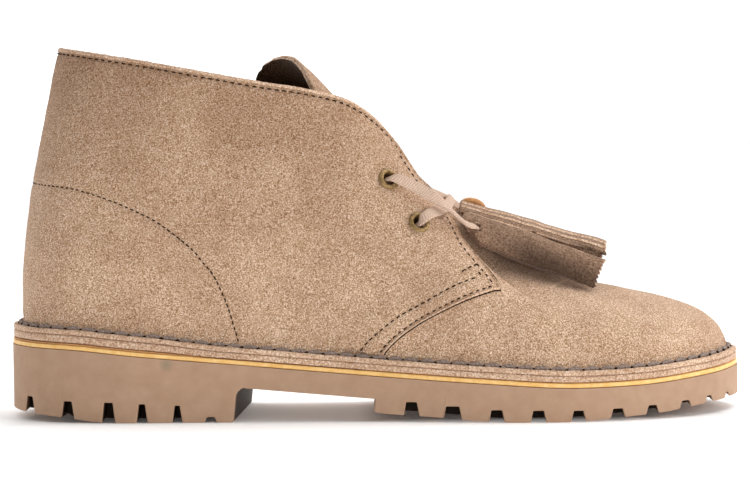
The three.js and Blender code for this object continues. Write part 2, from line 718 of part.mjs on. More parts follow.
boot.add(piece('fringe_under', fringe(FRINGE.layer + GAP, 1.5), suede()));
boot.add(piece('fringe_loop', fringeLoop(), suede()));
export default boot;
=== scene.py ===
# %% [markdown]
# # A suede chukka boot
# This lesson dresses a finished CAD boot. The CAD gives every part its place and size, and it
# stays as the fixed frame. Blender adds what a CAD solid leaves out: napped suede, raw cut edges,
# thread, woven laces and moulded rubber. Everything is in metres, in the frame of the CAD.

# %% Load the frame
import math

import bmesh
import bpy
import numpy as np
from mathutils import Matrix, Vector, noise


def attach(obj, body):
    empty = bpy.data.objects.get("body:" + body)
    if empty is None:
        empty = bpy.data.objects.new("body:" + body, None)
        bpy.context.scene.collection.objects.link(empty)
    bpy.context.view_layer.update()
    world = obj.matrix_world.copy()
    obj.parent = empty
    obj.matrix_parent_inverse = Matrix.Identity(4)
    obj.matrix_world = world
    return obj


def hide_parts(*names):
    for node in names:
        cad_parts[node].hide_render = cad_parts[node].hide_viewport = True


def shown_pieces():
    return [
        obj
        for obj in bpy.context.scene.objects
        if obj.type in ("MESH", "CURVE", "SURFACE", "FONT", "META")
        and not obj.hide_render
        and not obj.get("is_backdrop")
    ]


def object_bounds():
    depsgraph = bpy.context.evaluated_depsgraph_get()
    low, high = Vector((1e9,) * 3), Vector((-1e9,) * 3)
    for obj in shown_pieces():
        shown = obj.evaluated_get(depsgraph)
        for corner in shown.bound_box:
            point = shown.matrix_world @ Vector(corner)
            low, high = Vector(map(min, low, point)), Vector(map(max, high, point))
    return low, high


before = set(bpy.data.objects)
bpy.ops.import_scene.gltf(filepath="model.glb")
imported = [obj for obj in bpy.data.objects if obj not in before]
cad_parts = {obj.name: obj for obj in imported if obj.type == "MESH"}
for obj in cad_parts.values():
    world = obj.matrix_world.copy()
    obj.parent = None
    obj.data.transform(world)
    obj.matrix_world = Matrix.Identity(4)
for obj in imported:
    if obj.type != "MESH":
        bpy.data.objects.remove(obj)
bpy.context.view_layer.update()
MM = 0.001

# %% [markdown]
# ## The camera
# A shoe is sold from its side, so the camera looks almost level at the outer side through a long
# lens. A long lens keeps the toe and the heel at one scale. The camera is rolled by a fraction of
# a degree, as one set up by hand is.

# %% Camera
LENS = 134.15
PITCH, ROLL, YAW = (math.radians(a) for a in (2.805, -0.658, -0.04))
CAMERA_PLACE = (0.0009, -1.1545, 0.1271)
camera_data = bpy.data.cameras.new("camera")
camera_data.lens = LENS
camera = bpy.data.objects.new("camera", camera_data)
bpy.context.scene.collection.objects.link(camera)
forward = Vector((math.sin(YAW) * math.cos(PITCH), math.cos(YAW) * math.cos(PITCH), -math.sin(PITCH)))
right = forward.cross(Vector((0, 0, 1))).normalized()
above = right.cross(forward)
turned_right = right * math.cos(ROLL) + above * math.sin(ROLL)
turned_up = above * math.cos(ROLL) - right * math.sin(ROLL)
camera.matrix_world = Matrix.Translation(CAMERA_PLACE) @ Matrix(
    (turned_right, turned_up, -forward)
).transposed().to_4x4()
bpy.context.scene.camera = camera
print("camera at", [round(x, 3) for x in camera.location], "lens", camera_data.lens)

# %% [markdown]
# ## The sizes of the boot
# The sole's outline and the lines of the upper are short tables, the same ones that the CAD part
# is made from. With them Blender can rebuild the same surfaces on a much finer grid, which suede
# needs, because light on a soft curved wall shows every facet.

# %% Tables, in millimetres
SIDES = {"outer": -1, "inner": 1}
SOLE_LENGTH = 300
GAP, WALL, FLANGE, FLANGE_INSET = 0.3, 2.2, 2.0, 0.5
FLANGE_WIDTH, FLANGE_GAIN = 4.2, 0.1
WELT, FILLER, FILLER_FRONT, FILLER_FADE, MIDSOLE, SLAB = 2.0, 1.2, -62, 30, 1.8, 9.0
# x, and y of the sole's edge on the outer and the inner side
SOLE_EDGE = np.array([
    (-150, 0, 0), (-145.5, -18, 18), (-132, -31.5, 31), (-108, -38.5, 37.5), (-76, -40, 37),
    (-44, -40.8, 34.5), (-15, -42.8, 33.8), (10, -46, 36.5), (30, -49.5, 41.5), (48, -52.2, 47),
    (64, -53.5, 51.5), (80, -53, 53.4), (96, -50.5, 52.8), (113, -44.5, 49), (129, -34.5, 40.5),
    (142, -20, 28), (150, 4, 4),
], float)
# out on the outer side, out on the inner side, up, then the points `high` and `top`
UPPER_LINES = np.array([
    (2.6, 2.6, 33, -137.9, 0, 110, -129.3, 0, 151.2),
    (2.6, 2.6, 33, -134.2, -14, 109.5, -126.2, -12, 150.7),
    (2.6, 2.6, 33, -122.5, -25, 108.5, -115.5, -21.5, 149),
    (2.5, 2.5, 33, -101, -31.5, 107, -96, -28.5, 145.7),
    (2.5, 3.5, 33, -73, -33.5, 105, -71, -31.5, 141),
    (2.5, 5, 32, -46, -34, 103, -46, -32, 136.3),
    (2.5, 6, 30, -23, -34, 98, -25, -29.5, 132.8),
    (2, 5.5, 27, -4, -33.5, 91, -8, -24, 127.5),
    (2, 4.5, 25, 12, -32.5, 83, 6, -16.5, 115.5),
    (2, 3.5, 23, 26.5, -34, 71, 18.8, -13.5, 96.4),
    (2, 3, 21, 40, -36, 60.5, 31, -15.5, 79),
    (2, 2.5, 19, 55, -38, 51.5, 42.5, -23, 62.7),
    (2, 2.5, 18, 66, -40, 44.5, 50.4, -32, 51.8),
    (2, 2, 19, 79, -31.5, 46.3, 53.2, -23, 56.4),
    (1.5, 1.5, 21, 88, -20, 46.8, 55.3, -14.5, 59.4),
    (0.8, 0.8, 23.8, 93, -9.5, 46.7, 56.6, -7, 60.9),
    (-0.8, -0.8, 25.5, 95, 0, 46.5, 57, 0, 61.3),
], float)
MIDSOLE_TOP = np.array([
    (-150, 32.2), (-125, 31.4), (-95, 28.5), (-60, 25.4), (-25, 22.3), (10, 19.5),
    (45, 17.2), (80, 15.4), (105, 15.9), (130, 17.9), (150, 19.9),
], float)
ROWS = len(SOLE_EDGE) - 1
print(ROWS, "spans along the sole")


# %% Curves through the tables
def through(a, b, c, d, t):
    """The smooth curve from b to c, at t between them; a and d are the points before and after."""
    return b + 0.5 * t * (c - a + t * (2 * a - 5 * b + 4 * c - d + t * (3 * (b - c) + d - a)))


def ring(points, u):
    """A closed smooth curve through rows of points, at u turns."""
    n = len(points)
    k = (np.asarray(u, float) % 1.0) * n
    i = np.floor(k).astype(int)
    t = (k - i)[..., None]
    return through(*(points[(i + s) % n] for s in (-1, 0, 1, 2)), t)


def along(table, x):
    """A smooth curve through a table of (position, value), which never overshoots a row."""
    p, q = table[:, 0], table[:, 1]
    secant = np.diff(q) / np.diff(p)
    before = np.concatenate([secant[:1], secant])
    after = np.concatenate([secant, secant[-1:]])
    same = before * after > 0
    slope = np.where(same, 2 * before * after / np.where(same, before + after, 1), 0)
    x = np.asarray(x, float)
    k = np.clip(np.searchsorted(p, x, side="left") - 1, 0, len(p) - 2)
    span = p[k + 1] - p[k]
    t = np.clip((x - p[k]) / span, 0, 1)
    blend = t * t * (3 - 2 * t)
    ease = t * (1 - t) * ((1 - t) * slope[k] - t * slope[k + 1])
    return q[k] + (q[k + 1] - q[k]) * blend + span * ease


def smooth(x, low, high):
    """0 below low, 1 above high, and an even S in between."""
    t = np.clip((np.asarray(x, float) - low) / (high - low), 0, 1)
    return t * t * (3 - 2 * t)


def bell(x, width, middle=0.0):
    """1 at the middle, and a soft fall to 0 on both sides of it."""
    return np.exp(-(((x - middle) / width) ** 2))


def unit(a):
    return a / np.maximum(np.linalg.norm(a, axis=-1, keepdims=True), 1e-12)


def run_along(points):
    """The way walked along a line of points, at each of them."""
    return np.concatenate([[0], np.cumsum(np.linalg.norm(np.diff(points, axis=0), axis=1))])


EDGE = np.array(
    [(x, o) for x, o, _ in SOLE_EDGE] + [(x, i) for x, _, i in SOLE_EDGE[-2:0:-1]], float
)


def edge_way(u):
    """Which way the sole's edge runs, as a unit vector from above."""
    return unit(ring(EDGE, np.asarray(u) + 5e-4) - ring(EDGE, np.asarray(u) - 5e-4))


def edge_point(u, inset):
    """The sole's edge from above, moved inwards."""
    t = edge_way(u)
    return ring(EDGE, u) + np.stack([-t[..., 1], t[..., 0]], -1) * np.asarray(inset)[..., None]


def midsole_top(x):
    return along(MIDSOLE_TOP, x)


def filler_at(x):
    return FILLER * smooth(FILLER_FRONT - np.asarray(x, float), 0, FILLER_FADE)


def welt_top(x):
    return midsole_top(x) + filler_at(x) + WELT + 2 * GAP


def flange_bottom(x):
    return welt_top(x) + GAP


def flange_top(x):
    return flange_bottom(x) + FLANGE


def flange_width(x):
    return FLANGE_WIDTH + (np.asarray(x, float) + SOLE_LENGTH / 2) / SOLE_LENGTH * FLANGE_GAIN


print("welt top under the ball:", round(float(welt_top(60)), 2), "mm")

# %% [markdown]
# ## The skin of the upper
# Each line of the upper climbs from the foot of the wall to the opening as a Bezier curve. The
# lines are joined sideways by smooth rings. `u` runs round the boot and `v` climbs it, so any seam
# is a line in `u` and `v`, and stitches, panels and creases can all be laid on the same skin.

# %% The skin as a function
RING_ROWS = [(k, -1) for k in range(ROWS + 1)] + [(k, 1) for k in range(ROWS - 1, 0, -1)]
RING_U = np.arange(2 * ROWS) / (2 * ROWS)
feet_flat = edge_point(RING_U, FLANGE_INSET + flange_width(ring(EDGE, RING_U)[:, 0]))
FEET = np.column_stack([feet_flat, flange_top(feet_flat[:, 0])])
LOWS, HIGHS, TOPS = [], [], []
for (k, side), foot, t in zip(RING_ROWS, FEET, edge_way(RING_U)):
    line = UPPER_LINES[k]
    out = line[1] if side > 0 else line[0]
    LOWS.append(foot + np.array([t[1] * out, -t[0] * out, line[2]]))
    HIGHS.append((line[3], -side * line[4], line[5]))
    TOPS.append((line[6], -side * line[7], line[8]))
CONTROL = [FEET, np.array(LOWS), np.array(HIGHS), np.array(TOPS)]


def skin(u, v):
    """The outer face of the upper."""
    v = np.asarray(v, float)[..., None]
    w = 1 - v
    weights = (w**3, 3 * w * w * v, 3 * w * v * v, v**3)
    return sum(ring(c, u) * k for c, k in zip(CONTROL, weights))


def skin_normal(u, v):
    u, v = np.asarray(u, float), np.asarray(v, float)
    du = skin(u + 1e-3, v) - skin(u - 1e-3, v)
    dv = skin(u, np.minimum(v + 1e-3, 1)) - skin(u, np.maximum(v - 1e-3, 0))
    return unit(np.cross(du, dv))


def even_turns(n, v=0.3):
    """n values of u, evenly spaced along the boot's wall."""
    u = np.linspace(0, 1, 4001)
    run = run_along(skin(u, np.full_like(u, v)))
    return np.interp(np.arange(n) / n * run[-1], run, u)


# %% Finding a place on the skin from the side
# In front of THROAT_U the skin crosses to the other side. Along the facing it folds behind itself
# as seen from the side, so a place there is only looked for as far as FACING_U.
THROAT_U, FACING_U = 0.376, 0.32


def on_side(u, side):
    """A place round the boot, given on the outer side, on the side asked for."""
    return u if side < 0 else 1 - u


def seen_from_side(points, side, reach=THROAT_U):
    """(u, v) of places given as x and z: the nearest grid point first, then steps that home in."""
    low, high = sorted((on_side(0.0, side), on_side(reach, side)))
    gu, gv = np.meshgrid(np.linspace(low, high, 500), np.linspace(0, 1, 250), indexing="ij")
    grid = skin(gu, gv)[..., [0, 2]].reshape(-1, 2)
    found = []
    for x, z in points:
        k = np.argmin((grid[:, 0] - x) ** 2 + (grid[:, 1] - z) ** 2)
        u, v = gu.flat[k], gv.flat[k]
        for _ in range(6):
            here = skin(u, v)
            a = (skin(u + 1e-4, v) - skin(u - 1e-4, v))[[0, 2]] / 2e-4
            b = (skin(u, v + 1e-4) - skin(u, v - 1e-4))[[0, 2]] / 2e-4
            cross = a[0] * b[1] - a[1] * b[0]
            miss = np.array([x, z]) - here[[0, 2]]
            if abs(cross) < 500 or np.hypot(*miss) < 1e-3:
                break
            u += np.clip((miss[0] * b[1] - miss[1] * b[0]) / cross, -0.01, 0.01)
            v += np.clip((a[0] * miss[1] - a[1] * miss[0]) / cross, -0.05, 0.05)
            u, v = np.clip(u, low, high), np.clip(v, 0, 1)
        found.append((u, v))
    return np.array(found)


def open_curve(points, n):
    """n points evenly along a smooth open curve through the rows."""
    points = np.asarray(points, float)
    first, last = 2 * points[0] - points[1], 2 * points[-1] - points[-2]
    p = np.vstack([first, points, last])
    k = np.linspace(0, len(points) - 1 - 1e-9, 40 * len(points))
    i = k.astype(int)
    curve = through(p[i], p[i + 1], p[i + 2], p[i + 3], (k - i)[:, None])
    run = run_along(curve)
    at = np.linspace(0, run[-1], n)
    return np.column_stack([np.interp(at, run, curve[:, j]) for j in range(points.shape[1])])


EYELETS = [("upper", 6.0, 96.4), ("lower", 18.0, 79.0)]
seats = {}
for name, x, z in EYELETS:
    for word, side in SIDES.items():
        u, v = seen_from_side([(x, z)], side)[0]
        seats[f"eyelet_{word}_{name}"] = (skin(u, v), skin_normal(u, v))

# %% [markdown]
# ## Meshes from grids
# Most pieces here are sheets: a grid of points with a thickness. One helper closes a ring of
# profiles into a solid, and another turns an open grid into a solid sheet. Both keep the faces in
# rows, so the shading stays even.


# %% Mesh helpers
def new_piece(name, points, faces, looks, stands_for=(), smooth_shade=True, look_of=None):
    """A mesh object from millimetre points, riding on the boot."""
    mesh = bpy.data.meshes.new(name)
    mesh.from_pydata((np.asarray(points, float) * MM).tolist(), [], faces)
    mesh.update()
    for look in looks if isinstance(looks, (list, tuple)) else [looks]:
        mesh.materials.append(look)
    if look_of is not None:
        mesh.polygons.foreach_set("material_index", np.asarray(look_of, np.int32))
    mesh.polygons.foreach_set("use_smooth", np.full(len(mesh.polygons), smooth_shade))
    piece = bpy.data.objects.new(name, mesh)
    bpy.context.scene.collection.objects.link(piece)
    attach(piece, "root")
    if stands_for:
        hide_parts(*stands_for)
    return piece


def closed_ring(profiles):
    """Faces of a solid ring: profiles[i] is a closed loop of points."""
    n, m = profiles.shape[:2]
    a = np.arange(n)[:, None] * m + np.arange(m)[None]
    b = np.roll(a, -1, 0)
    faces = np.stack([a, b, np.roll(b, -1, 1), np.roll(a, -1, 1)], -1).reshape(-1, 4)
    return profiles.reshape(-1, 3), faces.tolist()


def solid_sheet(outer, inner, mask=None):
    """Points and faces of a closed sheet between two grids of points."""
    n, m = outer.shape[:2]
    has = np.ones((n - 1, m - 1), bool) if mask is None else mask
    ids = np.arange(n * m).reshape(n, m)
    shift = n * m
    a, b, c, d = ids[:-1, :-1], ids[1:, :-1], ids[1:, 1:], ids[:-1, 1:]
    front = np.stack([a, b, c, d], -1)[has]
    back = np.stack([d, c, b, a], -1)[has] + shift
    padded = np.pad(has, 1)
    middle = padded[1:-1, 1:-1]
    walls = []
    for (p, q), other in (
        ((a, b), padded[1:-1, :-2]), ((b, c), padded[2:, 1:-1]),
        ((c, d), padded[1:-1, 2:]), ((d, a), padded[:-2, 1:-1]),
    ):
        rim = middle & ~other
        walls.append(np.stack([p[rim], p[rim] + shift, q[rim] + shift, q[rim]], -1))
    faces = np.concatenate([front, back, *walls])
    points = np.concatenate([outer.reshape(-1, 3), inner.reshape(-1, 3)])
    used, faces = np.unique(faces, return_inverse=True)
    return points[used], faces.reshape(-1, 4).tolist(), len(front)


def raw_walls(faces, front_count):
    """Look 0 on the two faces of a sheet, and look 1, the cut edge, on the walls between them."""
    look_of = np.zeros(len(faces), int)
    look_of[2 * front_count :] = 1
    return look_of


def ripple(points, size, seed=0.0):
    """Soft seeded noise from -1 to 1 at each point, with bumps of that size in mm."""
    flat = np.asarray(points, float).reshape(-1, 3) / size + seed
    values = [noise.noise(Vector(p)) for p in flat]
    return np.array(values).reshape(np.asarray(points).shape[:-1])


print("helpers ready")

# %% [markdown]
# ## Materials
# Each finish is named for what it is. A helper adds one node with its settings and its links, and
# another turns a printed sRGB colour into the linear values that the shader works with. In a Mix
# node of colours, input 0 is the share, and inputs 6 and 7 are the two colours.


# %% Material helpers
def srgb(code):
    """A hex colour as linear red, green, blue, alpha."""
    parts = [int(code[i : i + 2], 16) / 255 for i in (1, 3, 5)]
    return tuple(c / 12.92 if c <= 0.04045 else ((c + 0.055) / 1.055) ** 2.4 for c in parts) + (1.0,)


def add(tree, kind, links=None, sockets=None, stops=None, **settings):
    """One node: its settings, the values of its sockets, and what is plugged into them."""
    node = tree.nodes.new(kind)
    for key, value in settings.items():
        setattr(node, key, value)
    for key, value in (sockets or {}).items():
        node.inputs[key].default_value = value
    for key, source in (links or {}).items():
        tree.links.new(source, node.inputs[key])
    for k, (position, code) in enumerate(stops or []):
        elements = node.color_ramp.elements
        stop = elements[k] if k < 2 else elements.new(position)
        stop.position, stop.color = position, srgb(code)
    return node


def new_look(name, roughness, **sockets):
    """An empty material with a Principled shader, and coordinates in the boot's own metres."""
    look = bpy.data.materials.new(name)
    look.use_nodes = True
    tree = look.node_tree
    shader = tree.nodes["Principled BSDF"]
    shader.inputs["Roughness"].default_value = roughness
    for key, value in sockets.items():
        shader.inputs[key.replace("_", " ")].default_value = value
    place = add(tree, "ShaderNodeTexCoord").outputs["Object"]
    return look, tree, shader, place


print("material helpers ready")

# %% [markdown]
# ### Suede
# Suede is the flesh side of the hide, ground until it stands up as a nap of short fibres. It has
# no gloss. The fibres lie over in little curls half a millimetre across, so the colour changes in
# fine worm-shaped specks, and a few soft clouds show where a hand has brushed the nap. At grazing
# angles the fibre tips catch the light, so the outline looks paler. Towards the collar the colour
# is darkened as painted shade, standing in for the shade on the top of the wall. A single fibre is
# too fine to show, so the curls are drawn instead.


# %% Suede
BRUSHED_SIZE, PATCH_SIZE = 26, 5.5
# painted shade: from 60 mm up to the collar at 150 mm the suede is tinted darker
COLLAR_SHADE_FROM, COLLAR_SHADE_TO = 60, 150
BRUSHED_TINT, FIBRE_TIPS = "#DCD2CC", "#F4DED2"


def suede_look(name, dark, middle, light, nap, height, collar_shade="#FFFFFF"):
    """Napped suede: three shades, the curls' size and the nap's height in mm, and the tint of painted shade
    at the collar.
    """
    look, tree, shader, place = new_look(name, 0.95)
    curls = add(
        tree, "ShaderNodeTexNoise", {"Vector": place},
        {"Scale": 1 / (nap * MM), "Detail": 1.5, "Roughness": 0.5, "Distortion": 0.7},
    ).outputs["Fac"]
    brushed = add(
        tree, "ShaderNodeTexNoise", {"Vector": place}, {"Scale": 1 / (BRUSHED_SIZE * MM), "Detail": 2.0}
    ).outputs["Fac"]
    patch = add(
        tree, "ShaderNodeTexNoise", {"Vector": place}, {"Scale": 1 / (PATCH_SIZE * MM), "Detail": 2.0}
    ).outputs["Fac"]
    lean = add(tree, "ShaderNodeMath", {0: patch}, {1: 0.07, 2: -0.035}, operation="MULTIPLY_ADD")
    speck = add(tree, "ShaderNodeMath", {0: curls, 1: lean.outputs[0]}, operation="ADD")
    colour = add(
        tree, "ShaderNodeValToRGB", {"Fac": speck.outputs[0]},
        stops=[(0.33, dark), (0.68, light), (0.5, middle)],
    ).outputs["Color"]
    tint = add(
        tree, "ShaderNodeValToRGB", {"Fac": brushed}, stops=[(0.35, BRUSHED_TINT), (0.62, "#FFFFFF")]
    ).outputs["Color"]
    shaded = add(
        tree, "ShaderNodeMix", {6: colour, 7: tint}, {0: 0.5}, data_type="RGBA", blend_type="MULTIPLY"
    )
    # painted shade: the colour is multiplied darker as the wall climbs towards the collar
    climb = add(tree, "ShaderNodeSeparateXYZ", {0: place}).outputs["Z"]
    reach = add(
        tree, "ShaderNodeMapRange", {"Value": climb},
        {"From Min": COLLAR_SHADE_FROM * MM, "From Max": COLLAR_SHADE_TO * MM},
    )
    collar_shade_ramp = add(
        tree, "ShaderNodeValToRGB", {"Fac": reach.outputs["Result"]},
        stops=[(0.0, "#FFFFFF"), (1.0, collar_shade)],
    )
    toned = add(
        tree, "ShaderNodeMix", {6: shaded.outputs[2], 7: collar_shade_ramp.outputs["Color"]}, {0: 1.0},
        data_type="RGBA", blend_type="MULTIPLY",
    )
    tree.links.new(toned.outputs[2], shader.inputs["Base Color"])
    bump = add(
        tree, "ShaderNodeBump", {"Height": curls}, {"Strength": 1.0, "Distance": height * MM}
    )
    tree.links.new(bump.outputs[0], shader.inputs["Normal"])
    shader.inputs["Specular IOR Level"].default_value = 0.1
    shader.inputs["Sheen Weight"].default_value = 0.3
    shader.inputs["Sheen Roughness"].default_value = 0.45
    shader.inputs["Sheen Tint"].default_value = srgb(FIBRE_TIPS)
    return look


suede = suede_look("napped_sand_suede", "#99724F", "#D3AC8A", "#FCE5CF", 0.5, 0.6, collar_shade="#D8D2CD")
raw_edge = suede_look("raw_suede_edge", "#B08A6C", "#D9B597", "#F7E0CA", 0.7, 0.35)
# dark brown suede: the back of the tongue's lining, and lines of painted shadow on the fringe
back_suede_and_shade = suede_look("brown_suede_back_and_painted_shade", "#3A2B20", "#54402F", "#6C5642", 0.7, 0.2)
fringe_suede = suede_look("fringe_suede", "#674D3A", "#8C6F59", "#A88B74", 0.8, 0.16)
fringe_edge = suede_look("fringe_cut_edge", "#A98468", "#D3AF91", "#F3DAC2", 0.6, 0.2)
print(suede.name, raw_edge.name, back_suede_and_shade.name, fringe_suede.name, fringe_edge.name)

# %% [markdown]
# The fringe is the same suede, pressed flat, in a darker brown. Low down on both sides, where its
# strips bend under, its colour is mixed towards a dark brown as painted shade. The mix has two
# shares: one grows away from the middle line, and the other grows towards the toe.

# %% Painted shade on the fringe's suede
# painted shade: dark brown, mixed in away from the middle line and towards the toe
FRINGE_SHADE = "#2E2018"
FRINGE_SHADE_Y, FRINGE_SHADE_X, FRINGE_SHADE_MOST = (13, 23), (42, 66), 0.8
fringe_shade_nodes = fringe_suede.node_tree
fringe_shade_place = add(fringe_shade_nodes, "ShaderNodeTexCoord").outputs["Object"]
fringe_shade_parts = add(fringe_shade_nodes, "ShaderNodeSeparateXYZ", {0: fringe_shade_place})
low_edge = add(fringe_shade_nodes, "ShaderNodeMath", {0: fringe_shade_parts.outputs["Y"]}, operation="ABSOLUTE")
towards_edge = add(
    fringe_shade_nodes, "ShaderNodeMapRange", {"Value": low_edge.outputs[0]},
    {"From Min": FRINGE_SHADE_Y[0] * MM, "From Max": FRINGE_SHADE_Y[1] * MM}, interpolation_type="SMOOTHSTEP",
)
towards_end = add(
    fringe_shade_nodes, "ShaderNodeMapRange", {"Value": fringe_shade_parts.outputs["X"]},
    {"From Min": FRINGE_SHADE_X[0] * MM, "From Max": FRINGE_SHADE_X[1] * MM, "To Max": FRINGE_SHADE_MOST},
    interpolation_type="SMOOTHSTEP",
)
fringe_shade_share = add(
    fringe_shade_nodes, "ShaderNodeMath", {0: towards_edge.outputs["Result"], 1: towards_end.outputs["Result"]},
    operation="MULTIPLY",
)
fringe_shade_shader = fringe_shade_nodes.nodes["Principled BSDF"]
fringe_unshaded_colour = fringe_shade_shader.inputs["Base Color"].links[0].from_socket
fringe_shaded_colour = add(
    fringe_shade_nodes, "ShaderNodeMix", {0: fringe_shade_share.outputs[0], 6: fringe_unshaded_colour}, {7: srgb(FRINGE_SHADE)}, data_type="RGBA"
)
fringe_shade_nodes.links.new(fringe_shaded_colour.outputs[2], fringe_shade_shader.inputs["Base Color"])
# the dark brown mixed in above is painted shade
print("wax added to", fringe_suede.name)

# %% [markdown]
# ### Rubber, thread, cotton, brass and leather
# The outsole is moulded rubber: matt and even, with a faint cloudiness and tiny pits. The line
# above it is a satin yellow rubber strip. Thread is twisted, which stripes it. The lace is flat
# woven cotton. The eyelets are old brass, brown in their corners. Lining and insole are leather.


# %% The other finishes
def plain_look(name, stops, size, roughness, bump, detail=4.0, **sockets):
    """A finish with clouds of one size in mm, which colour it and lift it by `bump` mm."""
    look, tree, shader, place = new_look(name, roughness, **sockets)
    value = add(
        tree, "ShaderNodeTexNoise", {"Vector": place},
        {"Scale": 1 / (size * MM), "Detail": detail, "Roughness": 0.6},
    ).outputs["Fac"]
    colour = add(tree, "ShaderNodeValToRGB", {"Fac": value}, stops=stops)
    tree.links.new(colour.outputs["Color"], shader.inputs["Base Color"])
    height = add(tree, "ShaderNodeBump", {"Height": value}, {"Strength": 1.0, "Distance": bump * MM})
    tree.links.new(height.outputs[0], shader.inputs["Normal"])
    return look


# moulded rubber: matt, with wide faint clouds
rubber = plain_look(
    "moulded_taupe_rubber", [(0.3, "#B08E74"), (0.75, "#BC9B81")], 6.0, 0.7, 0.03, detail=6.0,
    Specular_IOR_Level=0.25,
)
# die-cut rubber strip, ground at its edge: satin
yellow = plain_look("satin_yellow_rubber", [(0.3, "#F2BA64"), (0.75, "#FFD690")], 2.6, 0.55, 0.03)
# pressed leather fibre: coarse and dry
filler = plain_look("tan_fibre_board", [(0.3, "#B27B48"), (0.7, "#D6A26C")], 1.2, 0.8, 0.12)
# twisted linen, drawn through wax: dull, with dark hollows between the plies
rope = plain_look("waxed_grey_thread", [(0.3, "#786860"), (0.7, "#AE9D92")], 0.5, 0.85, 0.1)
# spun polyester: nearly black, with no gloss
seam = plain_look(
    "brown_seam_thread", [(0.3, "#24160D"), (0.7, "#4B3322")], 0.4, 0.9, 0.05, Specular_IOR_Level=0.05
)
# painted shade: the dark inside a needle hole, and the shadow line under the quarter's cut edge, where no
# light reaches
hole = plain_look(
    "needle_hole_shadow", [(0.3, "#1C140E"), (0.7, "#33251B")], 0.5, 0.95, 0.02, Specular_IOR_Level=0.05
)
# woven cotton: soft and dry, with ribs that are added below
cotton = plain_look("flat_woven_cotton", [(0.3, "#C6A993"), (0.7, "#E4CAB6")], 0.6, 0.9, 0.12)
# pressed brass under a brown lacquer: half metal to the eye
brass = plain_look(
    "old_brass", [(0.3, "#614B2E"), (0.75, "#C09F6C"), (0.5, "#93774B")], 1.1, 0.45, 0.03, Metallic=0.45
)
# smooth pigskin, rolled flat: a soft gloss
lining = plain_look("smooth_tan_lining", [(0.3, "#7A5C42"), (0.7, "#97745A")], 1.4, 0.6, 0.05)
insole_leather = plain_look("smooth_brown_insole", [(0.3, "#4B3828"), (0.7, "#6A523C")], 1.6, 0.5, 0.05)
print(len(bpy.data.materials), "materials")

# %% [markdown]
# ### Woven ribs
# The lace's weave shows as slanting ribs. They are half a millimetre apart on a real lace, which is
# too fine to show, so they are drawn a millimetre apart. They run across the lace, so they are
# waves on a coordinate that each lace mesh keeps for itself, along its length and across it.

# %% The lace's weave
weave = cotton.node_tree
at = add(weave, "ShaderNodeAttribute", attribute_name="weave").outputs["Vector"]
ribs = add(
    weave, "ShaderNodeTexWave", {"Vector": at}, {"Scale": 1.0, "Distortion": 0.3, "Detail": 1.0},
    bands_direction="DIAGONAL",
)
rib_colour = add(
    weave, "ShaderNodeValToRGB", {"Fac": ribs.outputs["Fac"]}, stops=[(0.1, "#E2D2C8"), (0.7, "#FFFFFF")]
)
cotton_shader = weave.nodes["Principled BSDF"]
base = cotton_shader.inputs["Base Color"].links[0].from_socket
woven = add(
    weave, "ShaderNodeMix", {6: base, 7: rib_colour.outputs["Color"]}, {0: 0.7},
    data_type="RGBA", blend_type="MULTIPLY",
)
weave.links.new(woven.outputs[2], cotton_shader.inputs["Base Color"])
rib_bump = add(
    weave, "ShaderNodeBump", {"Height": ribs.outputs["Fac"]}, {"Strength": 1.0, "Distance": 0.2 * MM}
)
weave.links.new(rib_bump.outputs[0], cotton_shader.inputs["Normal"])
print("weave added to", cotton.name)

# %% [markdown]
# ## Seams on the side
# The boot has four lines of thread on each side: round the collar and down the facing, over the
# heel's counter, and two rows along the front edge of the quarter, which ends in a small box of
# stitches. Each is written as x and z, as seen from the side, and found on the skin.

# %% Seam lines, x and z in millimetres
COUNTER = [
    (-126, 94.5), (-116.5, 92.5), (-107.7, 89.7), (-100.8, 87), (-91.6, 82.7), (-85.1, 78.8),
    (-74, 69.9), (-69.5, 64.6), (-65, 59), (-61.5, 51.7), (-59.1, 45.6), (-57, 38.5), (-55, 31.5),
]
FACING_EDGE = [(29.4, 81.2), (35.2, 70.7), (41.6, 62.8), (44.8, 59.0), (47.9, 55.2)]
QUARTER = [
    (49.8, 52.0), (47.6, 51.8), (45, 51.1), (36, 48.2), (30, 45.6), (24, 42.6), (17.9, 39.3), (11.8, 35.2),
    (8, 32.1), (4.8, 28.9), (2.2, 25.6),
]
SECOND_ROW = [(40.2, 56.4), (30.9, 53.4), (20.7, 48), (10.6, 42.6), (4.2, 38), (-2.7, 32.2), (-6.4, 27.8)]
BOX_TOP = [(34.2, 58.8), (40.8, 61.1)]
BOX_FRONT = [(40.5, 58.9), (42.3, 56.6)]
# how high the counter's row crosses the back, and where round the boot the facing's edge starts
COUNTER_TOP, FACING_TOP_U = 96.1, 0.297
seam_lines = {}
for word, side in SIDES.items():
    counter = np.vstack([[(on_side(0.0, side), 0.0)], seen_from_side(COUNTER, side)])
    heights = np.linspace(0, 1, 400)
    back = skin(np.zeros(400), heights)[:, 2]
    counter[0, 1] = np.interp(COUNTER_TOP, back, heights)
    seam_lines["counter_" + word] = counter
    seam_lines["quarter_" + word] = seen_from_side(QUARTER, side)
    seam_lines["second_" + word] = seen_from_side(SECOND_ROW, side)
    seam_lines["box_top_" + word] = seen_from_side(BOX_TOP, side)
    seam_lines["box_front_" + word] = seen_from_side(BOX_FRONT, side)
    facing_top = (on_side(FACING_TOP_U, side), 1.0)
    facing_part = np.vstack([[facing_top], seen_from_side(FACING_EDGE, side, FACING_U)])
    seam_lines["edge_" + word] = np.vstack([facing_part, seam_lines["quarter_" + word]])
for name, uv in seam_lines.items():
    print(name, "from", skin(*uv[0]).round(1), "to", skin(*uv[-1]).round(1))

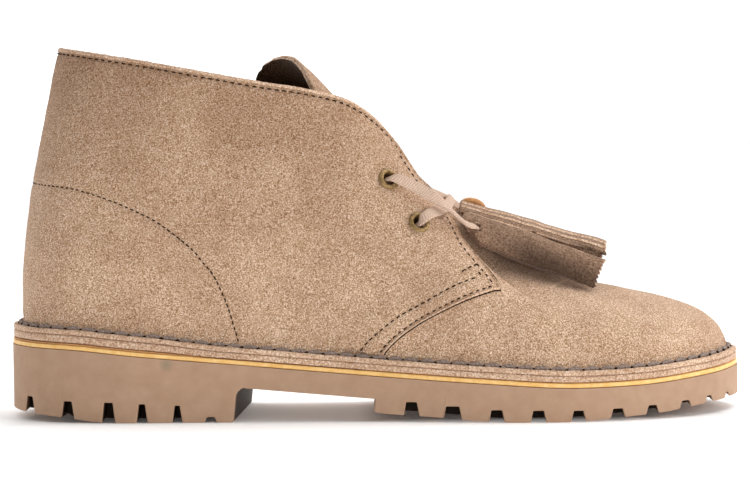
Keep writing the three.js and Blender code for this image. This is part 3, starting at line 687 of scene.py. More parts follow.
# %% [markdown]
# ## Soft shape of the upper
# Real suede isn't a perfect surface. It dips along a row of thread, puckers where the welt's
# stitches pull it, and keeps a few soft troughs where the ankle bends. The troughs are listed:
# each one runs between two places on the side, and has a depth and a width.

# %% Troughs and dips
# x and z of both ends, depth and width in mm; a negative depth is a ridge
CREASES = [
    ((34, 42), (-6, 98), 0.7, 9),
    ((6, 52), (-34, 112), 0.5, 11),
    ((-44, 60), (-62, 108), 0.5, 13),
    ((-100, 100), (-70, 128), -0.5, 14),
    ((-128, 60), (-112, 40), 0.5, 9),
    ((66, 30), (92, 44), 0.5, 7),
    ((84, 26), (104, 40), 0.35, 6),
    ((56, 36), (74, 52), -0.4, 8),
]


def from_segment(points, a, b):
    """Distance of x, z places from a segment, and how far along it they are."""
    a, b = np.array(a, float), np.array(b, float)
    rel, d = points - a, b - a
    t = np.clip((rel @ d) / (d @ d), 0, 1)
    return np.linalg.norm(rel - t[..., None] * d, axis=-1), t


def relief(p, v):
    """How far the suede stands out of the plain skin, in mm."""
    flat = p[..., [0, 2]]
    out = np.zeros(p.shape[:-1])
    for a, b, depth, width in CREASES:
        far, t = from_segment(flat, a, b)
        ends = np.sin(np.pi * np.clip(t, 0.02, 0.98)) ** 0.7
        out -= depth * ends * bell(far, width)
    return out * (smooth(v, 0.02, 0.09) * (1 - smooth(v, 0.9, 1.0)))


print(len(CREASES), "troughs and ridges")

# %% Gathers above the welt, and the dip along the counter's row
WELT_STITCHES = 103
GATHER_HEIGHT, GATHER_AT, GATHER_SPREAD = 0.28, 0.045, 0.035
rope_turns = even_turns(WELT_STITCHES, 0.0)


def puckers(u, v):
    """Small gathers above the welt stitches."""
    spread = np.interp(u % 1, np.append(rope_turns, 1.0), np.arange(len(rope_turns) + 1))
    wave = np.cos(2 * np.pi * spread)
    return GATHER_HEIGHT * wave * bell(v, GATHER_SPREAD, GATHER_AT)


ROW_DEPTH, ROW_WIDTH = 0.4, 0.9


def dips(p, word):
    """The trough along the counter's row of thread, on one side of the boot."""
    line = open_curve(seam_lines["counter_" + word], 60)
    path = skin(line[:, 0], line[:, 1])
    near = np.full(p.shape[:-1], 1e9)
    for a, b in zip(path[:-1], path[1:]):
        rel, d = p - a, b - a
        t = np.clip((rel @ d) / (d @ d), 0, 1)
        near = np.minimum(near, ((rel - t[..., None] * d) ** 2).sum(-1))
    return -ROW_DEPTH * np.exp(-near / ROW_WIDTH**2)


def dressed_skin(u, v):
    """The skin with its troughs, ridges and gathers, and which way it looks."""
    p, n = skin(u, v), skin_normal(u, v)
    lift = relief(p, v) + puckers(u, v)
    return p + n * lift[..., None], n


print(len(rope_turns), "gathers, one for each welt stitch")

# %% [markdown]
# ## The upper
# The upper is one hollow wall. Its foot is turned outwards and lies on the welt as a flange with a
# raw edge, which is what makes this a stitchdown boot. The grid is a ring of profiles: each one
# goes under the flange, round its fuzzy edge, up the outside, over the collar and down inside.

# %% The flange at the foot of the wall
def fuzzy(points, amount, seed):
    """Small wobble of a cut edge."""
    return amount * (0.6 * ripple(points, 1.6, seed) + 0.4 * ripple(points, 0.7, seed + 9.0))


def hide_ripple(points):
    """The uneven thickness of a hide, in mm."""
    return 0.22 * ripple(points, 9.0, 5.0) + 0.1 * ripple(points, 3.2, 7.0)


COLUMNS = 520
FUZZ = {"flange": 0.6, "collar": 0.34, "quarter": 0.18}
# how far in the flat underside starts, and where on the skin the wall takes over from the flange
UNDER_LIP, WALL_FOOT_V = 2.2, 0.03
turns = even_turns(COLUMNS)
rim = edge_point(turns, FLANGE_INSET)
width_here = flange_width(rim[:, 0])
low, high = flange_bottom(rim[:, 0]), flange_top(rim[:, 0])
inside = edge_point(turns, FLANGE_INSET + width_here + WALL)
profile = [np.column_stack([inside, flange_bottom(inside[:, 0])])]
profile.append(np.column_stack([edge_point(turns, UNDER_LIP), low]))
for a in np.linspace(-0.5, 0.5, 5):
    height = (low + high) / 2 + (high - low) * a * 0.98
    tuck = 0.15 * (1 - math.cos(math.pi * a))
    wobble = fuzzy(np.column_stack([rim, height]), FUZZ["flange"], 3.0) + tuck
    profile.append(np.column_stack([edge_point(turns, FLANGE_INSET + wobble), height]))
edge_end = len(profile) + 2
for share in (0.28, 0.5, 0.68):
    there = np.column_stack([edge_point(turns, FLANGE_INSET + width_here * share), high])
    there[:, 2] += 0.25 * ripple(there, 5.0, 2.0) - 0.25 * smooth(share, 0.4, 0.7)
    profile.append(there)
start, _ = dressed_skin(turns, np.full(COLUMNS, WALL_FOOT_V))
corner = np.column_stack([edge_point(turns, FLANGE_INSET + width_here * 0.96), high - 0.2])
last_flat = profile[-1]
for t in (0.35, 0.7):
    profile.append((1 - t) ** 2 * last_flat + 2 * t * (1 - t) * corner + t * t * start)
print("rows of the flange:", len(profile))

# %% [markdown]
# Above the flange the wall follows the skin. A row of thread runs just below the collar, so the
# suede sinks along that row and swells between it and the cut edge.

# %% The wall, the collar and the lining
COLLAR_ROW, COLLAR_DIP, COLLAR_DIP_WIDTH = 2.3, 0.42, 0.85
COLLAR_SWELL_AT, COLLAR_SWELL, COLLAR_SWELL_WIDTH = 1.0, 0.22, 0.7
THROAT_HALF_U = 0.15
levels = np.concatenate([np.linspace(WALL_FOOT_V, 0.94, 84), np.linspace(0.946, 0.997, 15)])
grid_u, grid_v = np.meshgrid(turns, levels, indexing="ij")
wall, wall_normal = dressed_skin(grid_u, grid_v)
for word, half in (("outer", grid_u < 0.5), ("inner", grid_u >= 0.5)):
    wall[half] += wall_normal[half] * dips(wall[half], word)[..., None]
wall += wall_normal * hide_ripple(wall)[..., None]
top_point, top_normal = skin(turns, np.ones(COLUMNS)), skin_normal(turns, np.ones(COLUMNS))
from_top = np.linalg.norm(wall - top_point[:, None], axis=-1)
collar_part = (np.abs(turns - 0.5) > THROAT_HALF_U)[:, None]
trough = COLLAR_DIP * bell(from_top, COLLAR_DIP_WIDTH, COLLAR_ROW)
trough = trough - COLLAR_SWELL * bell(from_top, COLLAR_SWELL_WIDTH, COLLAR_SWELL_AT)
wall -= wall_normal * (trough * collar_part)[..., None]
first_wall = len(profile)
profile += [wall[:, j] for j in range(len(levels))]
last_outer = len(profile)
climb = unit(top_point - skin(turns, np.full(COLUMNS, 0.985)))
for a in np.linspace(0.15, 0.85, 5):
    bow = math.sin(math.pi * a) * 0.35
    profile.append(top_point - top_normal * (WALL * a) + climb * (bow - 0.1))
    profile[-1] += climb * fuzzy(profile[-1], FUZZ["collar"], 6.0)[:, None]
for v in np.concatenate([[0.995, 0.98], np.linspace(0.95, 0.0, 26)]):
    level = np.full(COLUMNS, v)
    profile.append(skin(turns, level) - skin_normal(turns, level) * WALL)
print("rows below, on and above the wall:", first_wall, len(levels), len(profile) - last_outer)

# %% The upper's mesh and its three looks
SUEDE_LOOK, EDGE_LOOK, LINING_LOOK = 0, 1, 2
upper_points, upper_faces = closed_ring(np.stack(profile, 1))
rows = len(profile)
look_row = np.full(rows, SUEDE_LOOK)
look_row[1:edge_end] = EDGE_LOOK
look_row[last_outer + 1 : last_outer + 4] = EDGE_LOOK
look_row[last_outer + 5 :] = LINING_LOOK
look_row[0] = LINING_LOOK
looks_used = np.tile(look_row, (COLUMNS, 1))
# the raw edge frays down over the collar by one to five rows of faces
lip_rows = np.round(3 + 3 * fuzzy(top_point, 0.5, 11.0)).astype(int)
for k in range(1, 6):
    looks_used[lip_rows >= k, last_outer - k] = EDGE_LOOK
upper = new_piece(
    "upper_suede", upper_points, upper_faces, [suede, raw_edge, lining], ["upper"],
    look_of=looks_used.ravel(),
)
print("upper:", len(upper_faces), "faces,", rows, "rows")

# %% [markdown]
# ### The quarter's raised edge
# The quarter lies over the vamp, and its cut edge stands up by the thickness of the suede. It is a
# second sheet on the same skin: full thickness along the cut, and faded into the wall behind it.
# The cut swells into a lip, and behind the lip the row of thread pulls the suede into a trough.
# The columns lie close together at the cut, where the shape changes fast.

# %% Quarter panels
RAISE = 1.35
PANEL_TOP_U, PANEL_FOOT_V = 0.279, 0.035
PANEL_ROWS = 240
LIP_SHARES = [0, 0.003, 0.007, 0.012, 0.018, 0.024, 0.03, 0.037, 0.045]
LIP_AT, LIP_RISE, LIP_WIDTH = 0.7, 0.3, 0.45
ROW_AT, ROW_SINK, ROW_SPREAD = 1.7, 0.5, 0.55
SECOND_SINK, SECOND_SPREAD = 0.3, 1.0
STAND_OFF, BACK_SINK = 0.06, 0.35
CUT_ROUND, CUT_SHARE = 0.3, 0.004
PANEL_BACK = [(19.5, 81), (19, 70), (11, 60), (-1, 51), (-14, 42), (-27, 31.5)]


def panel_lift(share):
    """How high the quarter stands at that share of the way back from its front edge."""
    stand = RAISE * (1 - smooth(share, 0.3, 1.0)) + STAND_OFF
    return stand - BACK_SINK * smooth(share, 0.9, 1.0) - CUT_ROUND * bell(share, CUT_SHARE)


def quarter_panel(word):
    side = SIDES[word]
    front = open_curve(seam_lines["edge_" + word], PANEL_ROWS)
    back_top = (on_side(PANEL_TOP_U, side), 1.0)
    back = open_curve(np.vstack([[back_top], seen_from_side(PANEL_BACK, side)]), PANEL_ROWS)
    front[-1, 1] = back[-1, 1] = PANEL_FOOT_V
    share = np.concatenate([LIP_SHARES, np.linspace(0.055, 1, 42)])
    uv = front[:, None] * (1 - share[None, :, None]) + back[:, None] * share[None, :, None]
    # the panel starts exactly at the opening's edge
    uv[0, :, 1] = 1.0
    p, n = dressed_skin(uv[..., 0], uv[..., 1])
    p += n * hide_ripple(p)[..., None]
    far = np.linalg.norm(p - p[:, :1], axis=-1)
    lift = panel_lift(share) + LIP_RISE * bell(far, LIP_WIDTH, LIP_AT)
    lift = lift - ROW_SINK * bell(far, ROW_SPREAD, ROW_AT)
    line = open_curve(seam_lines["second_" + word], 60)
    path = skin(line[:, 0], line[:, 1])
    near = np.min(np.linalg.norm(p[:, :, None] - path[None, None], axis=-1), axis=-1)
    lift = lift - SECOND_SINK * bell(near, SECOND_SPREAD)
    edge_wobble = fuzzy(p[:, 0], FUZZ["quarter"], 4.0)
    outer = p + n * lift[..., None]
    ahead = unit(p[:, 0] - p[:, len(LIP_SHARES) - 1])
    outer[:, 0] += ahead * edge_wobble[:, None]
    outer[:, 1] += ahead * edge_wobble[:, None] * 0.6
    inner = p - n * 0.7
    inner[:, 0] += ahead * (edge_wobble[:, None] - 0.1)
    if side > 0:
        outer, inner = outer[:, ::-1], inner[:, ::-1]
    points, faces, front_count = solid_sheet(outer, inner)
    look_of = raw_walls(faces, front_count)
    # the first four rows of the face take the pale cut-edge look: partly the rounded cut itself, partly a
    # painted highlight along the lip
    on_lip = np.zeros((len(front) - 1, len(share) - 1), int)
    on_lip[:, :4] = EDGE_LOOK
    look_of[:front_count] = (on_lip if side < 0 else on_lip[:, ::-1]).ravel()
    return new_piece(f"quarter_edge_{word}", points, faces, [suede, raw_edge], look_of=look_of)


quarters = [quarter_panel(word) for word in SIDES]
print("quarter panels:", [len(q.data.polygons) for q in quarters])

# %% [markdown]
# ## Thread
# A lockstitch shows as a row of short dashes. Each dash rises from one needle hole, lies on the
# suede and goes down the next one. The welt is sewn by hand with thick waxed thread of two twisted
# strands, so each of its stitches is drawn as two strands that wind round each other.

# %% Stitch helpers
STITCH_RISE, STITCH_SINK = 0.34, 0.5


def tube_faces(ids):
    """Faces of tubes whose points are numbered by tube, by ring and round the ring."""
    p, q = ids[:, :-1], ids[:, 1:]
    sides = np.stack([p, np.roll(p, -1, 2), np.roll(q, -1, 2), q], -1).reshape(-1, 4).tolist()
    return sides + ids[:, 0, ::-1].tolist() + ids[:, -1].tolist()


def tubes(paths, radius, around=6):
    """Points and faces of round tubes along paths of equal length, closed at both ends."""
    paths = np.asarray(paths, float)
    n, m = paths.shape[:2]
    heading = unit(np.gradient(paths, axis=1))
    helper = np.broadcast_to(np.array([0.13, 0.21, 0.97]), heading.shape)
    a = unit(np.cross(heading, helper))
    b = np.cross(heading, a)
    turn = np.arange(around) / around * 2 * math.pi
    radius = np.broadcast_to(radius, (n, m))
    loops = paths[:, :, None] + radius[..., None, None] * (
        a[:, :, None] * np.cos(turn)[:, None] + b[:, :, None] * np.sin(turn)[:, None]
    )
    return loops.reshape(-1, 3), tube_faces(np.arange(n * m * around).reshape(n, m, around))


def on_skin(uv, lift=0.0, count=400):
    """A seam as even points on the skin, with their normals."""
    uv = open_curve(uv, count)
    p, n = dressed_skin(uv[:, 0], uv[:, 1])
    return p + n * lift, n


def dashes(p, n, pitch, share=0.72):
    """Stitch paths along a seam: each a small arch that fills that share of the pitch."""
    run = run_along(p)
    count = max(1, int(run[-1] / pitch))
    pitch = run[-1] / count
    t = np.linspace(0, 1, 7)
    paths = []
    for k in range(count):
        at = (k + 0.5 + (t - 0.5) * share) * pitch
        here = np.column_stack([np.interp(at, run, p[:, j]) for j in range(3)])
        normal = unit(np.column_stack([np.interp(at, run, n[:, j]) for j in range(3)]))
        arch = -STITCH_SINK + (STITCH_SINK + STITCH_RISE) * np.sin(math.pi * t) ** 0.6
        paths.append(here + normal * arch[:, None])
    return paths


def below_edge(u_from, u_to, distance, count=900):
    """A line at that distance below the opening's edge."""
    u = np.linspace(u_from, u_to, count)
    one = np.ones(count)
    rim_way = unit(skin(u + 5e-4, one) - skin(u - 5e-4, one))
    down = (skin(u, one) - skin(u, one - 0.01)) / 0.01
    across = np.linalg.norm(down - (down * rim_way).sum(-1, keepdims=True) * rim_way, axis=1)
    return dressed_skin(u, 1 - distance / across)


print("stitch helpers ready")


# %% Rows of brown lockstitch
COLLAR_END_U = 0.262
THREAD_RADIUS, SHADOW_LINE_RADIUS = 0.3, 0.38
# each row has its pitch in mm, and the share of it that lies on the suede
seam_paths = []
FACING = [(10.2, 106.2), (17.0, 95.6), (27.2, 81.6), (33.4, 69.8), (39.8, 61.8), (43.2, 57.9), (46.6, 53.8)]
for side in SIDES.values():
    p, n = below_edge(on_side(0.0, side), on_side(COLLAR_END_U, side), COLLAR_ROW)
    seam_paths += dashes(p - n * COLLAR_DIP, n, 3.0, 0.56)
for side in SIDES.values():
    p, n = on_skin(seen_from_side(FACING, side, FACING_U))
    # the row climbs from the wall on to the raised quarter
    stand = -0.1 + (RAISE + 0.05) * smooth(p[:, 0], 17, 23)
    seam_paths += dashes(p + n * stand[:, None], n, 2.8, 0.58)
for word, side in SIDES.items():
    seam_paths += dashes(*on_skin(seam_lines["counter_" + word], -0.5), 2.4, 0.74)
    # the lower row runs just behind the quarter's cut edge
    shifted = seen_from_side([(x - 0.9, z + 1.3) for x, z in QUARTER[1:]], side)
    seam_paths += dashes(*on_skin(shifted, RAISE - 0.35), 2.7, 0.6)
    seam_paths += dashes(*on_skin(seam_lines["second_" + word], RAISE - 0.25), 2.7, 0.6)
    seam_paths += dashes(*on_skin(seam_lines["box_top_" + word], RAISE - 0.1, 80), 2.2)
    seam_paths += dashes(*on_skin(seam_lines["box_front_" + word], RAISE - 0.1, 80), 1.6)
thread_points, thread_faces = tubes(seam_paths, THREAD_RADIUS)
new_piece("seam_thread", thread_points, thread_faces, seam)
print(len(seam_paths), "lockstitches,", len(thread_faces), "faces")

# %% A painted shadow line under the quarter's edge
def painted_shadow_line(word):
    """A dark line of painted shadow where the quarter's cut edge meets the vamp."""
    line = open_curve(seam_lines["edge_" + word], 300)
    p, n = dressed_skin(line[:, 0], line[:, 1])
    ahead = unit(np.cross(n, np.gradient(p, axis=0))) * -SIDES[word]
    at_facing = (1 - smooth(np.arange(len(line)), 120, 150))[:, None]
    return (p + n * (0.1 + 0.65 * at_facing) + ahead * (0.1 + 0.55 * at_facing))[4:-4]


# painted shadow: a dark tube along the cut edge, lifted off the suede and set ahead of the edge along the
# facing
shadow_line_points, shadow_line_faces = tubes([painted_shadow_line(word) for word in SIDES], SHADOW_LINE_RADIUS)
new_piece("quarter_edge_shadow_line", shadow_line_points, shadow_line_faces, hole)
print("crease:", len(shadow_line_faces), "faces")

# %% The welt's rope stitches
ROPE_POINTS = 24
ROPE_ARCH, ROPE_SINK, ROPE_SLANT, ROPE_TURNS = 1.25, 0.6, 0.7, 1.9
STRAND_OFFSET, STRAND_THIN, STRAND_SWELL = 0.31, 0.29, 0.3


def rope_line(u, inset_more):
    """A line along the flange, near the corner between it and the wall."""
    x = ring(EDGE, u)[:, 0]
    flat = edge_point(u, FLANGE_INSET + flange_width(x) - 1.35 + inset_more)
    return np.column_stack([flat, flange_top(x)])


def rope_stitches():
    """Two-strand stitches that lie in the corner between the wall and the flange."""
    paths = []
    t = np.linspace(0, 1, ROPE_POINTS)
    ends = np.append(rope_turns, 1.0)
    for k in range(len(rope_turns)):
        # both ends of a stitch run a little into its neighbours
        u = ends[k] + (t * 1.04 - 0.02) * (ends[k + 1] - ends[k])
        core = rope_line(u, ROPE_SLANT * (t - 0.5))
        core[:, 2] += ROPE_ARCH * np.sin(math.pi * t) ** 0.6 - ROPE_SINK
        heading = unit(np.gradient(core, axis=0))
        a = unit(np.cross(heading, np.broadcast_to([0.0, 0.0, 1.0], heading.shape)))
        b = np.cross(heading, a)
        for phase in (0, math.pi):
            turn = 2 * math.pi * t * ROPE_TURNS + phase + k
            wind = a * np.cos(turn)[:, None] + b * np.sin(turn)[:, None]
            paths.append(core + STRAND_OFFSET * wind)
    return paths


rope_paths = rope_stitches()
strand_radius = STRAND_THIN + STRAND_SWELL * np.sin(math.pi * np.linspace(0, 1, ROPE_POINTS)) ** 0.6
rope_points, rope_faces = tubes(rope_paths, strand_radius, 7)
new_piece("welt_thread", rope_points, rope_faces, rope)
print(len(rope_paths), "strands,", len(rope_faces), "faces")

# %% Needle holes of the welt, as dark ovals of painted shade
HOLE_HALF_U, HOLE_INSET = 0.0009, -0.55
hole_paths = []
for u in rope_turns:
    spot = rope_line(np.array([u - HOLE_HALF_U, u, u + HOLE_HALF_U]), HOLE_INSET)
    spot[:, 2] += [-0.35, 0.02, -0.35]
    hole_paths.append(spot)
hole_points, hole_faces = tubes(hole_paths, [0.5, 0.75, 0.5], 10)
new_piece("welt_needle_hole_shade", hole_points, hole_faces, hole)
print(len(hole_paths), "needle holes")

# %% [markdown]
# ## Layers of the sole
# Under the flange come a second suede layer, a strip of fibre board at the heel, a yellow rubber
# line and the outsole. The suede layer has a fuzzy cut edge; the yellow line is ground almost
# flush, and wavers a little where it was sanded.

# %% Bands between the upper and the outsole
# share of the way up, and how far back: over 1 it is in mm, and below 1 it is a share of the tuck
BAND_PROFILE = [
    (0.0, 12), (0.02, 5), (0.02, 1.6), (0.12, 0.5), (0.3, 0.12), (0.5, 0.0), (0.7, 0.12),
    (0.88, 0.5), (0.98, 1.6), (0.98, 5), (1.0, 12),
]


def band(name, look, inset, bottom, top, wobble, tuck, stands_for, seed):
    """A flat layer as a ring with a rounded edge; bottom and top are functions of x."""
    u = even_turns(COLUMNS, 0.0)
    out = unit(edge_point(u, 0.0) - edge_point(u, 1.0))
    loops = []
    for share, back in BAND_PROFILE:
        flat = edge_point(u, inset + (back if back > 1 else back * tuck))
        x = flat[:, 0]
        loop = np.column_stack([x, flat[:, 1], bottom(x) + (top(x) - bottom(x)) * share])
        if back < 1:
            loop[:, :2] -= out * np.abs(fuzzy(loop, wobble, seed))[:, None]
        loops.append(loop)
    points, faces = closed_ring(np.stack(loops[::-1], 1))
    return new_piece(name, points, faces, look, stands_for)


def welt_bottom(x):
    return midsole_top(x) + 0.04 + 0.55 * filler_at(x)


welt = band(
    "welt_suede", raw_edge, 0.4, welt_bottom, lambda x: welt_top(x) + 0.27, 0.7, 0.15,
    ["welt"], 12.0,
)
midsole = band(
    "midsole_line", yellow, 0.2, lambda x: midsole_top(x) - MIDSOLE - 0.26, midsole_top, 0.12, 0.1,
    ["midsole"], 15.0,
)
print("bands:", len(welt.data.polygons), len(midsole.data.polygons))

# %% Heel strip, only where it has thickness
STRIP_END_U = 0.20
STRIP_PROFILE = [(0, 9), (0, 1.2), (0.1, 0.55), (0.5, 0.4), (0.9, 0.55), (1, 1.2), (1, 9)]


def heel_strip():
    """A thin layer that runs round the heel, with its edge rounded."""
    halves = np.linspace(1 - STRIP_END_U, 1.0, 130), np.linspace(0.0, STRIP_END_U, 130)[1:]
    u = np.concatenate(halves)
    loops = []
    for share, back in STRIP_PROFILE:
        flat = edge_point(u, back)
        x = flat[:, 0]
        thick = 0.52 * filler_at(x) + 0.01
        loops.append(np.column_stack([x, flat[:, 1], midsole_top(x) + 0.02 + thick * share]))
    grid = np.stack(loops, 1)[:, ::-1]
    # its inner face is the outer one, drawn in a little towards the middle of the boot
    points, faces, _ = solid_sheet(grid, grid * [0.985, 0.97, 1.0])
    return new_piece("heel_strip", points, faces, filler, ["heel_filler"])


strip = heel_strip()
print("heel strip:", len(strip.data.polygons))

# %% [markdown]
# ## Outsole
# The outsole is one moulding: a slab, a heel block and rows of lugs. It is cut here from the same
# outline and the same side profile as the CAD one, with more points round the edge. Then every
# sharp edge gets a small bevel, because moulded rubber has no knife edges and the bevels catch
# the light.

# %% The outsole's profile and grooves
BREAST, FOREFOOT, GROOVE_REACH = -57.5, -1, 17
BREAST_ROUND, BREAST_SLANT = 4.5, 0.055
LUG_GAP = 4.5
FOREFOOT_TREAD = np.array([
    (-1, 4.0), (3.4, 3.3), (22, 2.1), (39, 0.8), (50, 0), (74, 0), (88, 0.7), (102, 1.7), (115, 2.6),
    (127, 4), (138, 5.1), (150, 5.8),
], float)
HEEL_TREAD = np.array([(-150, 3.9), (-128, 2.2), (-106, 0), (-50, 0)], float)
# middle, width at the tread, depth
EDGE_GROOVES = [
    (-140.6, 3.6, 6.6), (-124.3, 4.6, 6.8), (-107.6, 4.8, 8.2), (-94.1, 3.8, 7.6), (-79.9, 3.4, 6.9),
    (-66.5, 4.4, 2.2), (13.9, 5.6, 5.4), (30.2, 6.6, 4.9), (47.6, 5.6, 4.9), (64.1, 5.6, 4.7),
    (80, 5.2, 4.3), (95.8, 5.2, 3.7), (110, 4.6, 3.4), (124, 4.4, 2.9), (134.5, 3, 2.7), (143.2, 2.2, 2.2),
]


def slab_top(x):
    return midsole_top(x) - MIDSOLE - GAP


def slab_bottom(x):
    return slab_top(x) - SLAB


print(len(EDGE_GROOVES), "grooves reach the sole's edge")


# %% Scratch solids and their Booleans
def prism(outline, low, high, upright):
    """A bmesh prism: an outline in plan (upright) or seen from the side, between two ends."""
    bm = bmesh.new()
    ends = [
        [bm.verts.new(Vector((a, b, c) if upright else (a, c, b)) * MM) for a, b in outline]
        for c in (low, high)
    ]
    count = len(outline)
    bm.faces.new(ends[0])
    bm.faces.new(ends[1])
    for i in range(count):
        j = (i + 1) % count
        bm.faces.new([ends[0][i], ends[0][j], ends[1][j], ends[1][i]])
    bmesh.ops.recalc_face_normals(bm, faces=bm.faces)
    return bm


def temporary(name, bms):
    """One scratch object from bmesh solids."""
    mesh = bpy.data.meshes.new(name)
    whole = bmesh.new()
    for bm in bms:
        part = bpy.data.meshes.new("part")
        bm.to_mesh(part)
        whole.from_mesh(part)
        bm.free()
        bpy.data.meshes.remove(part)
    whole.to_mesh(mesh)
    whole.free()
    obj = bpy.data.objects.new(name, mesh)
    bpy.context.scene.collection.objects.link(obj)
    return obj


def combine(base, other, operation):
    """Boolean of two scratch objects, kept in the first; the second is used up."""
    step = base.modifiers.new("cut", "BOOLEAN")
    step.object, step.operation, step.solver, step.use_self = other, operation, "EXACT", True
    graph = bpy.context.evaluated_depsgraph_get()
    mesh = bpy.data.meshes.new_from_object(base.evaluated_get(graph))
    base.modifiers.clear()
    base.data = mesh
    bpy.data.objects.remove(other)
    return base


print("Boolean helpers ready")

# %% The outsole's side profile, cut with its outline
outline = edge_point(even_turns(300, 0.0), 0.0)
PROFILE_END = SOLE_LENGTH / 2 + 1
profile_side = [(x, float(slab_top(x))) for x in np.linspace(-PROFILE_END, PROFILE_END, 60)]
fore_x = np.linspace(PROFILE_END, FOREFOOT, 44)
profile_side += [(x, float(along(FOREFOOT_TREAD, x))) for x in fore_x]
arch_x = np.linspace(FOREFOOT + 0.6, BREAST + 1 + BREAST_ROUND, 14)
profile_side += [(x, float(slab_bottom(x))) for x in arch_x]
for a in np.linspace(0, math.pi / 2, 7)[1:]:
    round_z = float(slab_bottom(BREAST + 1)) - BREAST_ROUND * (1 - math.cos(a))
    profile_side.append((BREAST + 1 + BREAST_ROUND * (1 - math.sin(a)), round_z))
heel_x = np.linspace(-PROFILE_END, BREAST, 16)
profile_side += [(x, float(along(HEEL_TREAD, x))) for x in heel_x[::-1]]
side_solid = prism(profile_side, -70, 70, False)
for corner_vertex in side_solid.verts:
    if BREAST - 0.5 < corner_vertex.co.x / MM < BREAST + 8:
        corner_vertex.co.x += BREAST_SLANT * (corner_vertex.co.y + 40 * MM)
sole = temporary("outsole_rubber", [prism(outline.tolist(), -5, 45, True)])
sole = combine(sole, temporary("side", [side_solid]), "INTERSECT")
print("outsole before the cuts:", len(sole.data.polygons), "faces")

# %% The grooves between the lugs
cutters = []
for x, width, depth in EDGE_GROOVES:
    tread = float(along(HEEL_TREAD if x < BREAST else FOREFOOT_TREAD, x))
    mouth, roof = width / 2 + 0.3, width / 2 - 0.7
    shape = [
        (x - mouth, tread - 6), (x + mouth, tread - 6), (x + mouth, tread),
        (x + roof, tread + depth), (x - roof, tread + depth), (x - mouth, tread),
    ]
    for side, column in ((-1, 1), (1, 2)):
        rim_y = float(along(SOLE_EDGE[:, [0, column]], x))
        cutters.append(prism(shape, *sorted((rim_y + side * 12, rim_y - side * GROOVE_REACH)), False))


def box_cut(x0, x1, y, width):
    """A box under the sole, from x0 to x1, as high as the tread is deep."""
    y0, y1 = y - width / 2, y + width / 2
    return prism([(x0, y0), (x1, y0), (x1, y1), (x0, y1)], -6, 4.3, True)


for side in SIDES.values():
    cutters.append(box_cut(12, 112, side * 20, LUG_GAP))
    cutters.append(box_cut(-128, -70, side * 15, LUG_GAP))
for width, places in ((40, (26, 44, 62, 80, 98)), (30, (-112, -98, -84))):
    cutters += [box_cut(x - LUG_GAP / 2, x + LUG_GAP / 2, 0, width) for x in places]
sole = combine(sole, temporary("grooves", cutters), "DIFFERENCE")
print("outsole after the cuts:", len(sole.data.polygons), "faces")

# %% [markdown]
# The rubber gets two marks: a small grey smudge on the heel's side, and painted shade that darkens
# each groove towards its inner end. The mesh keeps how deep in a groove each corner lies, as
# `inset`, because a shader can't find that out by itself.

# %% A smudge, and painted shade in the grooves
SMUDGE, SMUDGE_PLACE = "#7D7B66", (-84 * MM, -39.5 * MM, 23.5 * MM)
GROOVE_SHADE = "#1A120C"
smudge_and_shade_nodes = rubber.node_tree
smudge_coords = add(smudge_and_shade_nodes, "ShaderNodeTexCoord").outputs["Object"]
smudge_far = add(
    smudge_and_shade_nodes, "ShaderNodeVectorMath", {0: smudge_coords}, {1: SMUDGE_PLACE}, operation="DISTANCE"
)
smudge_share = add(
    smudge_and_shade_nodes, "ShaderNodeMapRange", {"Value": smudge_far.outputs["Value"]},
    {"From Min": 0.6 * MM, "From Max": 3.2 * MM, "To Min": 0.5, "To Max": 0.0},
)
rubber_shader = smudge_and_shade_nodes.nodes["Principled BSDF"]
clean = rubber_shader.inputs["Base Color"].links[0].from_socket
smudged = add(
    smudge_and_shade_nodes, "ShaderNodeMix", {0: smudge_share.outputs["Result"], 6: clean}, {7: srgb(SMUDGE)},
    data_type="RGBA",
)
# painted shade: each groove turns darker towards its inner end, where light doesn't reach
deep = add(smudge_and_shade_nodes, "ShaderNodeAttribute", attribute_name="inset").outputs["Fac"]
groove_shade_share = add(
    smudge_and_shade_nodes, "ShaderNodeMapRange", {"Value": deep},
    {"From Min": 0.03, "From Max": 0.3, "To Min": 0.0, "To Max": 0.93},
)
groove_shaded = add(
    smudge_and_shade_nodes, "ShaderNodeMix", {0: groove_shade_share.outputs["Result"], 6: smudged.outputs[2]},
    {7: srgb(GROOVE_SHADE)}, data_type="RGBA",
)
smudge_and_shade_nodes.links.new(groove_shaded.outputs[2], rubber_shader.inputs["Base Color"])
# the dark inside the grooves is painted shade
print("one smudge at the heel's side, and dirt inside the grooves")

# %% Bevels of the outsole
SHARP_ANGLE, BEVEL = math.radians(38), 0.4
bm = bmesh.new()
bm.from_mesh(sole.data)
bmesh.ops.remove_doubles(bm, verts=bm.verts, dist=0.05 * MM)
bmesh.ops.dissolve_degenerate(bm, edges=bm.edges, dist=0.02 * MM)
sharp = []
for edge in bm.edges:
    middle = (edge.verts[0].co + edge.verts[1].co) / 2 / MM
    if len(edge.link_faces) == 2 and edge.calc_face_angle(0.0) > SHARP_ANGLE:
        # the top edge is hidden under the yellow line, so it stays sharp and gets no bevel
        if middle.z < float(slab_top(middle.x)) - 1.0:
            sharp.append(edge)
        else:
            edge.smooth = False
bmesh.ops.bevel(
    bm, geom=sharp, offset=BEVEL * MM, offset_type="OFFSET", segments=2, profile=0.5, affect="EDGES",
    clamp_overlap=False,
)
bmesh.ops.triangulate(bm, faces=[f for f in bm.faces if len(f.verts) > 4])
bm.verts.index_update()
print(len(sharp), "edges bevelled")

